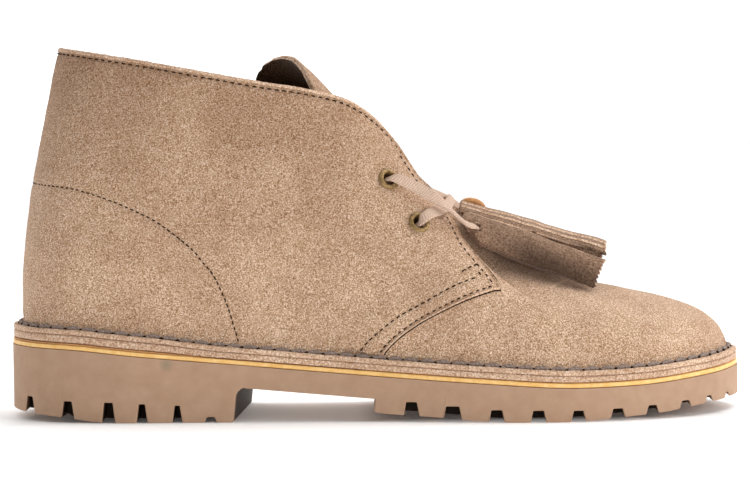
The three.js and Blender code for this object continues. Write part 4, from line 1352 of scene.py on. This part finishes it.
# %% How deep each corner lies in a groove, and the finish of the outsole
inset_layer = bm.loops.layers.float.new("inset")
rim_line = edge_point(np.linspace(0, 1, 1500), 0.0)
corners = np.array([v.co[:2] for v in bm.verts]) / MM
nearest = np.array([np.sqrt(((rim_line - c) ** 2).sum(1).min()) for c in corners])
bm.verts.ensure_lookup_table()
for face in bm.faces:
    shown = -0.6 < face.normal.z < 0.6
    for corner_loop in face.loops:
        place = corner_loop.vert.co / MM
        depth = nearest[corner_loop.vert.index]
        # the heel's breast counts as a groove that starts at the outer side, so its recess gets the painted
        # shade too
        if face.normal.x > 0.4 and BREAST - 1 < place.x < BREAST + 14:
            depth = max(depth, place.y + 39)
        corner_loop[inset_layer] = depth / GROOVE_REACH if shown else 0.0
bm.to_mesh(sole.data)
bm.free()
sole.data.materials.clear()
sole.data.materials.append(rubber)
sole.data.polygons.foreach_set("material_index", np.zeros(len(sole.data.polygons), np.int32))
sole.data.polygons.foreach_set("use_smooth", np.ones(len(sole.data.polygons), bool))
even = sole.modifiers.new("even_normals", "WEIGHTED_NORMAL")
even.keep_sharp = True
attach(sole, "root")
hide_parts("outsole")
print("outsole:", len(sole.data.polygons), "faces")

# %% [markdown]
# ## Tongue
# The vamp runs on into the tongue, so the two are one sheet: it starts on the vamp, passes the
# throat, and rises between the facings. Its top turns outwards a little. Behind the suede is a
# thin brown lining, and the two cut edges show along the top.

# %% Tongue
# x and z along the middle line, half the width, radius across, and how far it turns outwards
TONGUE = np.array([
    (68, 53.2, 26, 40, 0), (57, 58.3, 26, 34, 0), (46, 69.8, 25, 28, 0), (34, 83.2, 24, 24, 0),
    (20, 94, 24, 22, 0), (8.5, 106.5, 24, 22, 4), (-4, 118.5, 25, 23, 12), (-15.5, 128.5, 28, 25, 24),
    (-26, 138, 31, 27, 33), (-36, 147, 32, 28, 36),
], float)


def tongue_point(w, s):
    """A place on the tongue: w across from the outer edge to the inner, s up to the top."""
    across = 2 * w - 1
    t = np.clip(s * (1 - 0.12 * np.abs(across) ** 3), 0, 1)
    count = len(TONGUE)
    k = t * (count - 1)
    i = np.minimum(k.astype(int), count - 2)
    f = (k - i)[..., None]
    line = np.column_stack([TONGUE[:, 0], np.zeros(count), TONGUE[:, 1]])
    ends = np.vstack([2 * line[0] - line[1], line, 2 * line[-1] - line[-2]])
    a, b, c, d = ends[i], ends[i + 1], ends[i + 2], ends[i + 3]
    centre = through(a, b, c, d, f)
    heading = 0.5 * (c - a) + f * (2 * a - 5 * b + 4 * c - d)
    heading = unit(heading + 1.5 * f * f * (3 * (b - c) + d - a))
    place = np.linspace(0, 1, count)
    half, radius, turn = (along(np.column_stack([place, TONGUE[:, j]]), t) for j in (2, 3, 4))
    turn = np.radians(turn)
    out = np.stack([heading[..., 2] * np.cos(turn), heading[..., 2] * np.sin(turn), -heading[..., 0]], -1)
    side = np.stack([-np.sin(turn), np.cos(turn), np.zeros_like(turn)], -1)
    angle = across * half / radius
    aside, back = radius * np.sin(angle), radius * (np.cos(angle) - 1)
    return centre + side * aside[..., None] + out * back[..., None]


def grid_normals(grid):
    return unit(np.cross(np.gradient(grid, axis=0), np.gradient(grid, axis=1)))


print("the tongue's middle line has", len(TONGUE), "points")

# %% The tongue's sheet
# The first rows lie on the vamp, the next bridge the throat, and the rest rise up the tongue.
TONGUE_THICK, LINING_GAP, LINING_THICK = 1.25, 1.3, 2.1
LINING_ROW = 24
share_across = np.linspace(0.0, 1.0, 84)
vamp_u = 0.379 + 0.242 * share_across
columns = []
for v in np.linspace(0.80, 1.0, 12):
    level = np.full(len(vamp_u), v)
    p, n = dressed_skin(vamp_u, level)
    columns.append(p + n * (0.02 + 0.25 * smooth(v, 0.8, 0.98)))
lip = columns[-1]
lip_way = unit(columns[-1] - columns[-2])
TONGUE_START = 0.2
first = tongue_point(share_across, np.full(len(vamp_u), TONGUE_START))
first_way = unit(tongue_point(share_across, np.full(len(vamp_u), TONGUE_START + 0.01)) - first)
reach = np.linalg.norm(first - lip, axis=1)[:, None]
for t in np.linspace(0, 1, 12)[1:-1]:
    columns.append(
        (2 * t**3 - 3 * t**2 + 1) * lip + (t**3 - 2 * t**2 + t) * reach * lip_way
        + (3 * t**2 - 2 * t**3) * first + (t**3 - t**2) * reach * first_way
    )
for s in np.concatenate([np.linspace(TONGUE_START, 0.985, 80), [0.995, 1.0]]):
    columns.append(tongue_point(share_across, np.full(len(vamp_u), s)))
tongue_grid = np.stack(columns, 0)
tongue_normal = -grid_normals(tongue_grid)
if tongue_normal[30, 42, 0] < 0:
    tongue_normal = -tongue_normal
tongue_grid += tongue_normal * (0.25 * ripple(tongue_grid, 10.0, 8.0))[..., None]
tongue_grid[-1] += 0.3 * (tongue_grid[-1] - tongue_grid[-3]) * ripple(tongue_grid[-1], 2.0, 3.0)[:, None]
under = tongue_grid - tongue_normal * TONGUE_THICK
points, faces, front_count = solid_sheet(tongue_grid[:, ::-1], under[:, ::-1])
new_piece(
    "tongue_suede", points, faces, [suede, raw_edge], ["tongue"],
    look_of=raw_walls(faces, front_count),
)
inner_part = (slice(LINING_ROW, None), slice(1, -1))
back_grid, back_under = (
    (tongue_grid[inner_part] - tongue_normal[inner_part] * below)[:, ::-1]
    for below in (LINING_GAP, LINING_THICK)
)
points, faces, front_count = solid_sheet(back_grid, back_under)
new_piece(
    "tongue_lining", points, faces, [back_suede_and_shade, raw_edge], look_of=raw_walls(faces, front_count)
)
print("tongue top at", tongue_grid[-1, 42].round(1))

# %% [markdown]
# ## Eyelets
# A pressed brass ring: a flat rim with a rounded lip that rolls into a short barrel. The profile
# is turned round the eyelet's axis, and the suede under it is cut away, so the hole is a real one.

# %% Eyelets
# radius, and height over the suede
EYELET_PROFILE = [
    (2.55, -2.6), (2.6, -0.6), (2.62, 0.5), (2.75, 0.82), (3.05, 0.98), (3.4, 0.98), (3.8, 0.86),
    (4.2, 0.66), (4.48, 0.4), (4.52, 0.15), (4.4, -0.05), (3.3, -0.05), (3.0, -0.3), (3.0, -2.6),
]


def eyelet_ring(name, place, normal, around=48):
    """The profile, turned round the eyelet's axis, in place of the CAD node of that name."""
    a = unit(np.cross(normal, [0.0, 0.0, 1.0]))
    b = np.cross(normal, a)
    loops = []
    for k in range(around):
        turn = 2 * math.pi * k / around
        out = a * math.cos(turn) + b * math.sin(turn)
        loops.append([place + out * r + normal * h for r, h in EYELET_PROFILE])
    points, faces = closed_ring(np.array(loops))
    return new_piece(f"{name}_ring", points, faces, brass, [name])


for name, (place, normal) in seats.items():
    eyelet_ring(name, place, normal)
print(len(seats), "eyelets")

# %% Their holes in the suede
# On the outer side the cut goes through the whole wall, and on the inner side through its face.
HOLE_RADIUS, HOLE_DEPTH = 3.3, {"outer": 6, "inner": 1.1}
cut = bmesh.new()
cut.from_mesh(upper.data)
doomed = []
for face in cut.faces:
    middle = np.array(face.calc_center_median()) / MM
    for place, normal in seats.values():
        rel = middle - place
        depth = HOLE_DEPTH["outer" if normal[1] < 0 else "inner"]
        if abs(rel @ normal) < depth and np.linalg.norm(rel - (rel @ normal) * normal) < HOLE_RADIUS:
            doomed.append(face)
            break
bmesh.ops.delete(cut, geom=doomed, context="FACES")
cut.to_mesh(upper.data)
cut.free()
print("faces cut away for the eyelets:", len(doomed))

# %% [markdown]
# ## Laces
# One flat woven lace, 5 mm wide. The lower strands leave the lower eyelets, go over the facings
# and cross on the tongue. The upper strands run from the upper eyelets to slots in the fringe,
# and twist on edge just before they go in. A lace is narrower where it squeezes through a hole.

# %% Ribbon helper
RIBS_PER_MM = 0.6


def ribbon(rows, n=90, around=14):
    """A flat woven lace through rows of: place, the way its face looks, width and thickness."""
    line = open_curve(rows, n)
    spine, face, wide, deep = line[:, :3], unit(line[:, 3:6]), line[:, 6], line[:, 7]
    heading = unit(np.gradient(spine, axis=0))
    face = unit(face - (face * heading).sum(-1, keepdims=True) * heading)
    side = np.cross(heading, face)
    loops = []
    for k in range(around):
        turn = 2 * math.pi * k / around
        c, s = math.cos(turn), math.sin(turn)
        across = math.copysign(abs(c) ** 0.55, c) * wide / 2
        lift = math.copysign(abs(s) ** 0.75, s) * deep / 2
        loops.append(spine + side * across[:, None] + face * lift[:, None])
    faces = tube_faces(np.arange(n * around).reshape(1, n, around))
    rib = np.zeros((n, around, 3))
    rib[..., 0] = run_along(spine)[:, None] * RIBS_PER_MM
    rib[..., 1] = np.cos(2 * math.pi * np.arange(around) / around) * 0.9
    return np.stack(loops, 1).reshape(-1, 3), faces, spine, rib.reshape(-1, 3)


def keep_weave(piece, rib):
    """Store the weave's own coordinates on the mesh, for the woven ribs."""
    layer = piece.data.attributes.new("weave", "FLOAT_VECTOR", "POINT")
    layer.data.foreach_set("vector", rib.astype(np.float32).ravel())


print("ribbon helper ready")

# %% Lace ends
# x, y, z, then the way the face looks, then width and thickness
LACE_OUTER = np.array([
    (4.6, -26.0, 95.4, 0.3, -0.5, 0.8, 3.6, 1.5),
    (6.6, -29.6, 96.9, 0.1, -0.6, 0.8, 3.8, 1.5),
    (8.6, -31.2, 96.9, 0.3, -0.8, 0.5, 4.2, 1.3),
    (12.5, -30.6, 95.3, 0.4, -0.85, 0.35, 5.0, 1.2),
    (18.4, -29.2, 92.2, 0.35, -0.9, 0.3, 5.2, 1.2),
    (23.5, -28.6, 89.2, 0.3, -0.9, 0.3, 5.2, 1.2),
    (28, -27.6, 86.0, 0.4, -0.6, 0.7, 4.6, 1.3),
    (31.8, -26.2, 82.6, 0.6, -0.2, 0.8, 4.2, 1.4),
    (35.4, -25.2, 79.2, 0.6, -0.2, 0.8, 4.0, 1.5),
    (38.2, -24.0, 77.3, 0.4, -0.4, 0.9, 3.9, 1.4),
    (40.4, -21.9, 76.7, 0.3, -0.5, 0.8, 3.4, 1.4),
    (41.6, -18.4, 75.9, 0.2, -0.6, 0.7, 2.8, 1.3),
])
LACE_INNER = np.array([
    (4.6, 26.0, 95.4, 0.3, 0.5, 0.8, 3.6, 1.5),
    (6.6, 29.6, 96.9, 0.1, 0.6, 0.8, 3.8, 1.5),
    (8.6, 31.0, 97.1, 0.3, 0.8, 0.5, 4.2, 1.3),
    (12.5, 30.0, 95.9, 0.4, 0.7, 0.6, 5.0, 1.2),
    (18.4, 28.2, 93.4, 0.35, 0.5, 0.7, 5.2, 1.2),
    (24.0, 25.4, 90.0, 0.4, -0.3, 0.9, 5.2, 1.2),
    (29.5, 22.8, 87.0, 0.4, -0.6, 0.8, 5.2, 1.2),
    (34.0, 20.6, 84.0, 0.4, -0.6, 0.8, 5.0, 1.3),
    (37.3, 20.2, 81.8, 0.6, -0.2, 0.8, 4.2, 1.4),
    (40.4, 20.2, 79.6, 0.5, 0.6, 0.6, 3.8, 1.4),
    (42.6, 18.6, 76.8, 0.4, 0.7, 0.6, 3.4, 1.3),
])
for word, rows in (("outer", LACE_OUTER), ("inner", LACE_INNER)):
    points, faces, spine, rib = ribbon(rows)
    piece = new_piece(f"lace_{word}", points, faces, cotton, [f"lace_end_{word}"])
    keep_weave(piece, rib)

# %% Lace crossing
# The inner strand is the outer one, mirrored. One is lifted on the middle line and the other is
# pressed down, so that they pass each other.
CROSSING = np.array([
    (16.6, -28.5, 77.6, -0.2, -0.5, 0.8, 3.6, 1.5),
    (18.2, -32.6, 79.0, -0.3, -0.7, 0.6, 3.8, 1.4),
    (20.2, -34.0, 81.2, -0.2, -0.9, 0.4, 4.6, 1.3),
    (23.2, -30.6, 82.8, 0.1, -0.85, 0.5, 5.0, 1.2),
    (26.6, -24.6, 83.6, 0.4, -0.7, 0.6, 4.8, 1.2),
    (29.4, -17.0, 84.8, 0.6, -0.45, 0.65, 4.6, 1.2),
    (31.2, -8, 86.6, 0.7, -0.2, 0.65, 4.4, 1.2),
    (31.6, 0, 87.0, 0.75, 0, 0.65, 4.4, 1.2),
    (31.0, 6, 86.4, 0.75, 0.2, 0.6, 3.6, 1.1),
    (30.4, 9, 85.6, 0.7, 0.4, 0.5, 1.2, 0.5),
])
crossing_points, crossing_faces, crossing_ribs = [], [], []
for side, lift in ((-1, 0.7), (1, -0.6)):
    rows = CROSSING * [1, -side, 1, 1, -side, 1, 1, 1]
    rows[:, :3] += unit(rows[:, 3:6]) * (bell(rows[:, 1], 7.0) * lift)[:, None]
    points, faces, _, rib = ribbon(rows)
    start_index = sum(len(p) for p in crossing_points)
    crossing_points.append(points)
    crossing_ribs.append(rib)
    crossing_faces += [[k + start_index for k in face] for face in faces]
lace_crossing = new_piece(
    "lace_lower", np.vstack(crossing_points), crossing_faces, cotton, ["lace_crossing"]
)
keep_weave(lace_crossing, np.vstack(crossing_ribs))
print("lower strands:", len(crossing_faces), "faces")

# %% [markdown]
# ## Fringe
# The fringe is a saddle of suede over the instep, held by the lace through two slots. It is cut
# into three strips, each with a pinked end: a row of small teeth, so the edge can't fray. Two
# layers lie on each other, and a strap of tan leather makes a small arch on top.

# %% The surface that the fringe lies on
FRINGE_X, FRINGE_Z, SLOPE, LENGTH, HALF, STRIP = 35.5, 85.4, math.radians(16), 60.0, 28.5, 16.0
RADIUS_TOP, RADIUS_END = 30, 20
FRINGE_COLUMNS = (np.linspace(0, 1, 112) - 0.5) * 2 * HALF


def fringe_point(s, t, depth):
    """A place on the fringe: s down its length, t across it, depth below the top layer."""
    part = s / LENGTH
    radius = RADIUS_TOP + (RADIUS_END - RADIUS_TOP) * part
    angle = t / radius
    wing = np.maximum(0, np.abs(t) - STRIP / 2) / STRIP
    sag = 3.2 * np.maximum(part, 0) ** 1.5 * smooth(wing, 0, 0.25)
    hull = radius - depth
    sag = sag + 1.3 * bell(s, 12, 25) * smooth(wing, 0.3, 1.2)
    return np.stack([
        FRINGE_X + s, hull * np.sin(angle),
        FRINGE_Z - math.tan(SLOPE) * s + hull * np.cos(angle) - radius - sag,
    ], -1)


print("fringe reaches", fringe_point(LENGTH, 0.0, 0.0).round(1))

# %% The fringe's cut outline
TOOTH_PITCH, TOOTH_DEPTH = 2.2, 1.5
GAPE_NEAR, GAPE_START, GAPE_MORE = 0.8, 0.8, 5.0
OUTER_CORNER, STRIP_CORNER, END_TAPER = 7, 5.0, 9


def fringe_outline(short, slit):
    """s and t over a grid of one layer: pinked at its end, and open along both slits."""
    i, t = np.meshgrid(np.linspace(0, 1, 110), FRINGE_COLUMNS, indexing="ij")
    edge = np.abs(t) / HALF
    outer_strip = np.abs(t) > slit
    zigzag = np.abs(((t / TOOTH_PITCH) % 1) - 0.5) * 2
    tooth = TOOTH_DEPTH * zigzag * (i > 0.999)
    tooth = tooth + TOOTH_DEPTH / 2 * zigzag * ((i > 0.985) & (i < 0.999))
    corner = OUTER_CORNER * edge**4 * (1 - i) ** 4
    from_slit = np.maximum(0, np.abs(t) - slit)
    top_corner = STRIP_CORNER * np.exp(-from_slit / 1.4) * (1 - i) ** 8 * outer_strip
    taper = END_TAPER * np.maximum(0, edge - 1 / 3) * i
    s = corner + top_corner + i * (LENGTH - short - taper - corner) - tooth
    gape = GAPE_START + GAPE_MORE * np.maximum(0, s / LENGTH - 0.3) ** 1.3
    for middle in (-slit, slit):
        near = np.abs(t - middle) < GAPE_NEAR
        way = np.where(t - middle < 0, -1, 1)
        t = np.where(near, middle + way * gape / 2, t)
    return s, t, edge, outer_strip


print("teeth across the end:", round(2 * HALF / TOOTH_PITCH))

# %% Fringe layers
FRINGE_THICK, SLIT_HALF = 1.25, 0.3
# the middle strip steps up twice; each step has a pale cut edge and, at its foot, a dark line of painted
# shadow
STEPS, STEP_SHADOWS, STEP_RISE, LINE_HALF = (4.2, 7.6), (4.75, 8.15), 0.75, 0.27
SLOT_S, SLOT_T, SLOT_HALF_S, SLOT_HALF_T = 6.8, 20.2, 1.0, 2.4
# the cut edges lower than a line that drops towards the toe get the darker fringe suede, as painted shade
SIDE_EDGE_Y, SHADED_EDGE_X, SHADED_EDGE_Z, SHADED_EDGE_DROP = 19.5, 60, 76, 0.35


def fringe_layer(name, depth, short, slit, middle_rise, seed, stands_for):
    """Three strips side by side: a middle one, and one down each side, a slit apart."""
    s, t, edge, outer_strip = fringe_outline(short, slit)
    p = fringe_point(s, t, depth)
    wave = 0.55 * ripple(p, 16.0, seed) * smooth(s, 8, 30) + 0.2 * ripple(p, 5.0, seed)
    n = grid_normals(p)
    n = np.where(n[..., 2:] < 0, -n, n)
    inside = ~outer_strip
    lift = wave + 0.8 * smooth(edge, 0.55, 1.0) * np.sin(np.clip(s / LENGTH, 0, 1) * math.pi)
    terrace = sum(STEP_RISE * (np.abs(t) < step) for step in STEPS) - 0.6
    lift = lift + (middle_rise + terrace) * inside
    lift = lift + 0.35 * ripple(p * [1, 0, 0], 7.0, seed + 4) * inside
    p = p + n * lift[..., None]
    cell_t = np.abs((FRINGE_COLUMNS[:-1] + FRINGE_COLUMNS[1:]) / 2)
    mid_s, mid_t = ((a[:-1, :-1] + a[1:, 1:]) / 2 for a in (s, t))
    mask = np.tile(np.abs(cell_t - slit) >= SLIT_HALF, (len(mid_s), 1))
    mask &= ~((np.abs(mid_s - SLOT_S) < SLOT_HALF_S) & (np.abs(np.abs(mid_t) - SLOT_T) < SLOT_HALF_T))
    points, faces, front_count = solid_sheet(p, p - n * FRINGE_THICK, mask)
    lines = np.zeros(mask.shape, int)
    # look 1 is the pale cut edge, and look 2 a dark line of painted shadow
    for look, places in ((1, (*STEPS, slit + 0.5)), (2, STEP_SHADOWS)):
        for where in places:
            lines[:, np.abs(cell_t - where) < LINE_HALF] = look
    look_of = np.ones(len(faces), int)
    look_of[: 2 * front_count] = np.tile(lines[mask], 2)
    wall_x, wall_y, wall_z = np.moveaxis(points[np.array(faces[2 * front_count :])], -1, 0)
    # painted shade: the low side edges take the dark fringe suede instead of the pale cut edge
    shaded_side_edge = np.abs(wall_y).mean(-1) > SIDE_EDGE_Y
    shaded_side_edge &= wall_z.mean(-1) < SHADED_EDGE_Z - SHADED_EDGE_DROP * (wall_x.mean(-1) - SHADED_EDGE_X)
    look_of[2 * front_count :][shaded_side_edge] = 0
    piece = new_piece(
        name, points, faces, [fringe_suede, fringe_edge, back_suede_and_shade], stands_for, look_of=look_of
    )
    return piece


fringe_top = fringe_layer("fringe_top_layer", 0.0, 0.0, 11.2, 0.4, 2.0, ["fringe_top"])
fringe_under = fringe_layer("fringe_under_layer", 1.6, 1.5, 13.2, 0.0, 4.0, ["fringe_under"])
print("fringe layers:", len(fringe_top.data.polygons), len(fringe_under.data.polygons))

# %% The strap loop on the fringe
LOOP_HALF, LOOP_HEIGHT, LOOP_THICK, LOOP_WIDTH = 5.6, 3.8, 2.6, 8.0
LOOP_Y, LOOP_PLACE = 5.0, np.array([40.8, 0, 83.5])
# vegetable-tanned strap leather: bright tan, with open pores
strap = plain_look("tan_strap_leather", [(0.3, "#C07F45"), (0.75, "#E8B47C")], 1.0, 0.75, 0.1)
turn, across = np.meshgrid(np.linspace(0, math.pi, 40), np.linspace(-1, 1, 12), indexing="ij")
outer_arch = np.stack([
    LOOP_HALF * np.cos(turn), LOOP_Y + across * LOOP_WIDTH / 2,
    LOOP_HEIGHT * np.sin(turn) - 0.12 * across**2,
], -1)
inner_arch = outer_arch.copy()
inner_arch[..., 0] *= (LOOP_HALF - LOOP_THICK) / LOOP_HALF
inner_arch[..., 2] *= (LOOP_HEIGHT - LOOP_THICK) / LOOP_HEIGHT
tilt = np.array([
    [math.cos(SLOPE), 0, math.sin(SLOPE)], [0, 1, 0], [-math.sin(SLOPE), 0, math.cos(SLOPE)],
])
points, faces, _ = solid_sheet(*((arch @ tilt.T + LOOP_PLACE)[::-1] for arch in (outer_arch, inner_arch)))
new_piece("fringe_strap_loop", points, faces, strap, ["fringe_loop"])
print("loop:", len(faces), "faces")

# %% [markdown]
# ## Insole and inside
# The insole is a smooth brown leather board. Its CAD shape is right, so it only gets its finish.

# %% Insole
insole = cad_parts["insole"]
insole.data.materials.clear()
insole.data.materials.append(insole_leather)
print("insole keeps its CAD shape")

# %% [markdown]
# ## Floor and light
# A shoe is lit in a white tent on a lit paper table: one large soft source above and a little
# towards the toe, bright paper behind, and a darker camera side, so the top faces are brightest
# and the wall turns darker as it drops. The table glows a little, as painted light that keeps its
# shadows pale. Its glow drops under the arch, and further under the lugs where the sole covers it,
# as a painted contact shadow.

# %% Floor
# painted light and shadow: the paper glows in the open, less under the arch, and least under the lugs
TABLE_GLOW, ARCH_GLOW, LUG_GLOW = 0.22, 0.14, 0.03
COVERED_HALF, COVER_FADE = {"X": 138, "Y": 33}, 16
ARCH_X, ARCH_HALF = -30, 20
floor_look, paper, floor_shader, paper_place = new_look("lit_white_paper", 0.9)
floor_shader.inputs["Base Color"].default_value = srgb("#FAFAFA")
floor_shader.inputs["Specular IOR Level"].default_value = 0.1
floor_shader.inputs["Emission Color"].default_value = (1, 1, 1, 1)
under = add(paper, "ShaderNodeSeparateXYZ", {0: paper_place})
glows = []
for axis, half in COVERED_HALF.items():
    far = add(paper, "ShaderNodeMath", {0: under.outputs[axis]}, operation="ABSOLUTE")
    glows.append(add(
        paper, "ShaderNodeMapRange", {"Value": far.outputs[0]},
        {
            "From Min": half * MM, "From Max": (half + COVER_FADE) * MM,
            "To Min": LUG_GLOW, "To Max": TABLE_GLOW,
        },
        interpolation_type="SMOOTHSTEP",
    ).outputs["Result"])
past_arch = add(paper, "ShaderNodeMath", {0: under.outputs["X"]}, {1: -ARCH_X * MM}, operation="ADD")
from_arch = add(paper, "ShaderNodeMath", {0: past_arch.outputs[0]}, operation="ABSOLUTE")
under_sole = add(
    paper, "ShaderNodeMapRange", {"Value": from_arch.outputs[0]},
    {
        "From Min": ARCH_HALF * MM, "From Max": (ARCH_HALF + COVER_FADE) * MM,
        "To Min": ARCH_GLOW, "To Max": LUG_GLOW,
    },
    interpolation_type="SMOOTHSTEP",
)
open_table = add(paper, "ShaderNodeMath", {0: glows[0], 1: glows[1]}, operation="MAXIMUM")
glow = add(
    paper, "ShaderNodeMath", {0: open_table.outputs[0], 1: under_sole.outputs["Result"]},
    operation="MAXIMUM",
)
paper.links.new(glow.outputs[0], floor_shader.inputs["Emission Strength"])
floor_mesh = bpy.data.meshes.new("floor")
floor_mesh.from_pydata([(-6, -3, 0), (6, -3, 0), (6, 8, 0), (-6, 8, 0)], [], [(0, 1, 2, 3)])
floor_mesh.materials.append(floor_look)
floor = bpy.data.objects.new("floor", floor_mesh)
bpy.context.scene.collection.objects.link(floor)
floor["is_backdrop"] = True
print("floor glows", TABLE_GLOW, "in the open,", ARCH_GLOW, "under the arch")


# %% Lights and surroundings
def softbox(name, place, target, size, power):
    light = bpy.data.lights.new(name, "AREA")
    light.shape, light.size, light.size_y, light.energy = "RECTANGLE", size[0], size[1], power
    lamp = bpy.data.objects.new(name, light)
    bpy.context.scene.collection.objects.link(lamp)
    lamp.location = place
    lamp.rotation_mode = "QUATERNION"
    lamp.rotation_quaternion = (Vector(target) - Vector(place)).to_track_quat("-Z", "Y")


softbox("top_box", (0.45, 0.0, 1.05), (0.05, 0.0, 0.05), (0.9, 0.6), 4.6)
softbox("toe_box", (1.2, -0.6, 0.5), (0.06, 0.0, 0.05), (0.6, 0.5), 6.5)
softbox("low_box", (0.0, -0.62, 0.07), (0.0, 0.0, 0.03), (0.8, 0.1), 1.0)
world = bpy.data.worlds.new("white_tent")
bpy.context.scene.world = world
world.use_nodes = True
tent = world.node_tree
direction = add(tent, "ShaderNodeTexCoord").outputs["Generated"]
parts = add(tent, "ShaderNodeSeparateXYZ", {0: direction})
brightness = add(
    tent, "ShaderNodeMapRange", {"Value": parts.outputs["Y"]},
    {"From Min": -0.3, "From Max": 0.2, "To Min": 0.05, "To Max": 1.5},
    interpolation_type="SMOOTHSTEP",
)
tent.nodes["Background"].inputs["Color"].default_value = (1, 1, 1, 1)
tent.links.new(brightness.outputs["Result"], tent.nodes["Background"].inputs["Strength"])
bpy.context.scene.view_settings.view_transform = "Standard"

# %% [markdown]
# ## The size of the dressed boot
# The dressed boot has to fill the CAD boot's box and no more, apart from a little nap. Its box is
# printed here, with the count of faces.

# %% Sizes, and the end
low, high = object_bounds()
total = sum(len(o.data.polygons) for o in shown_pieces() if o.type == "MESH")
print("visual box in mm:", [round(x / MM, 1) for x in (*low, *high)], "faces:", total)
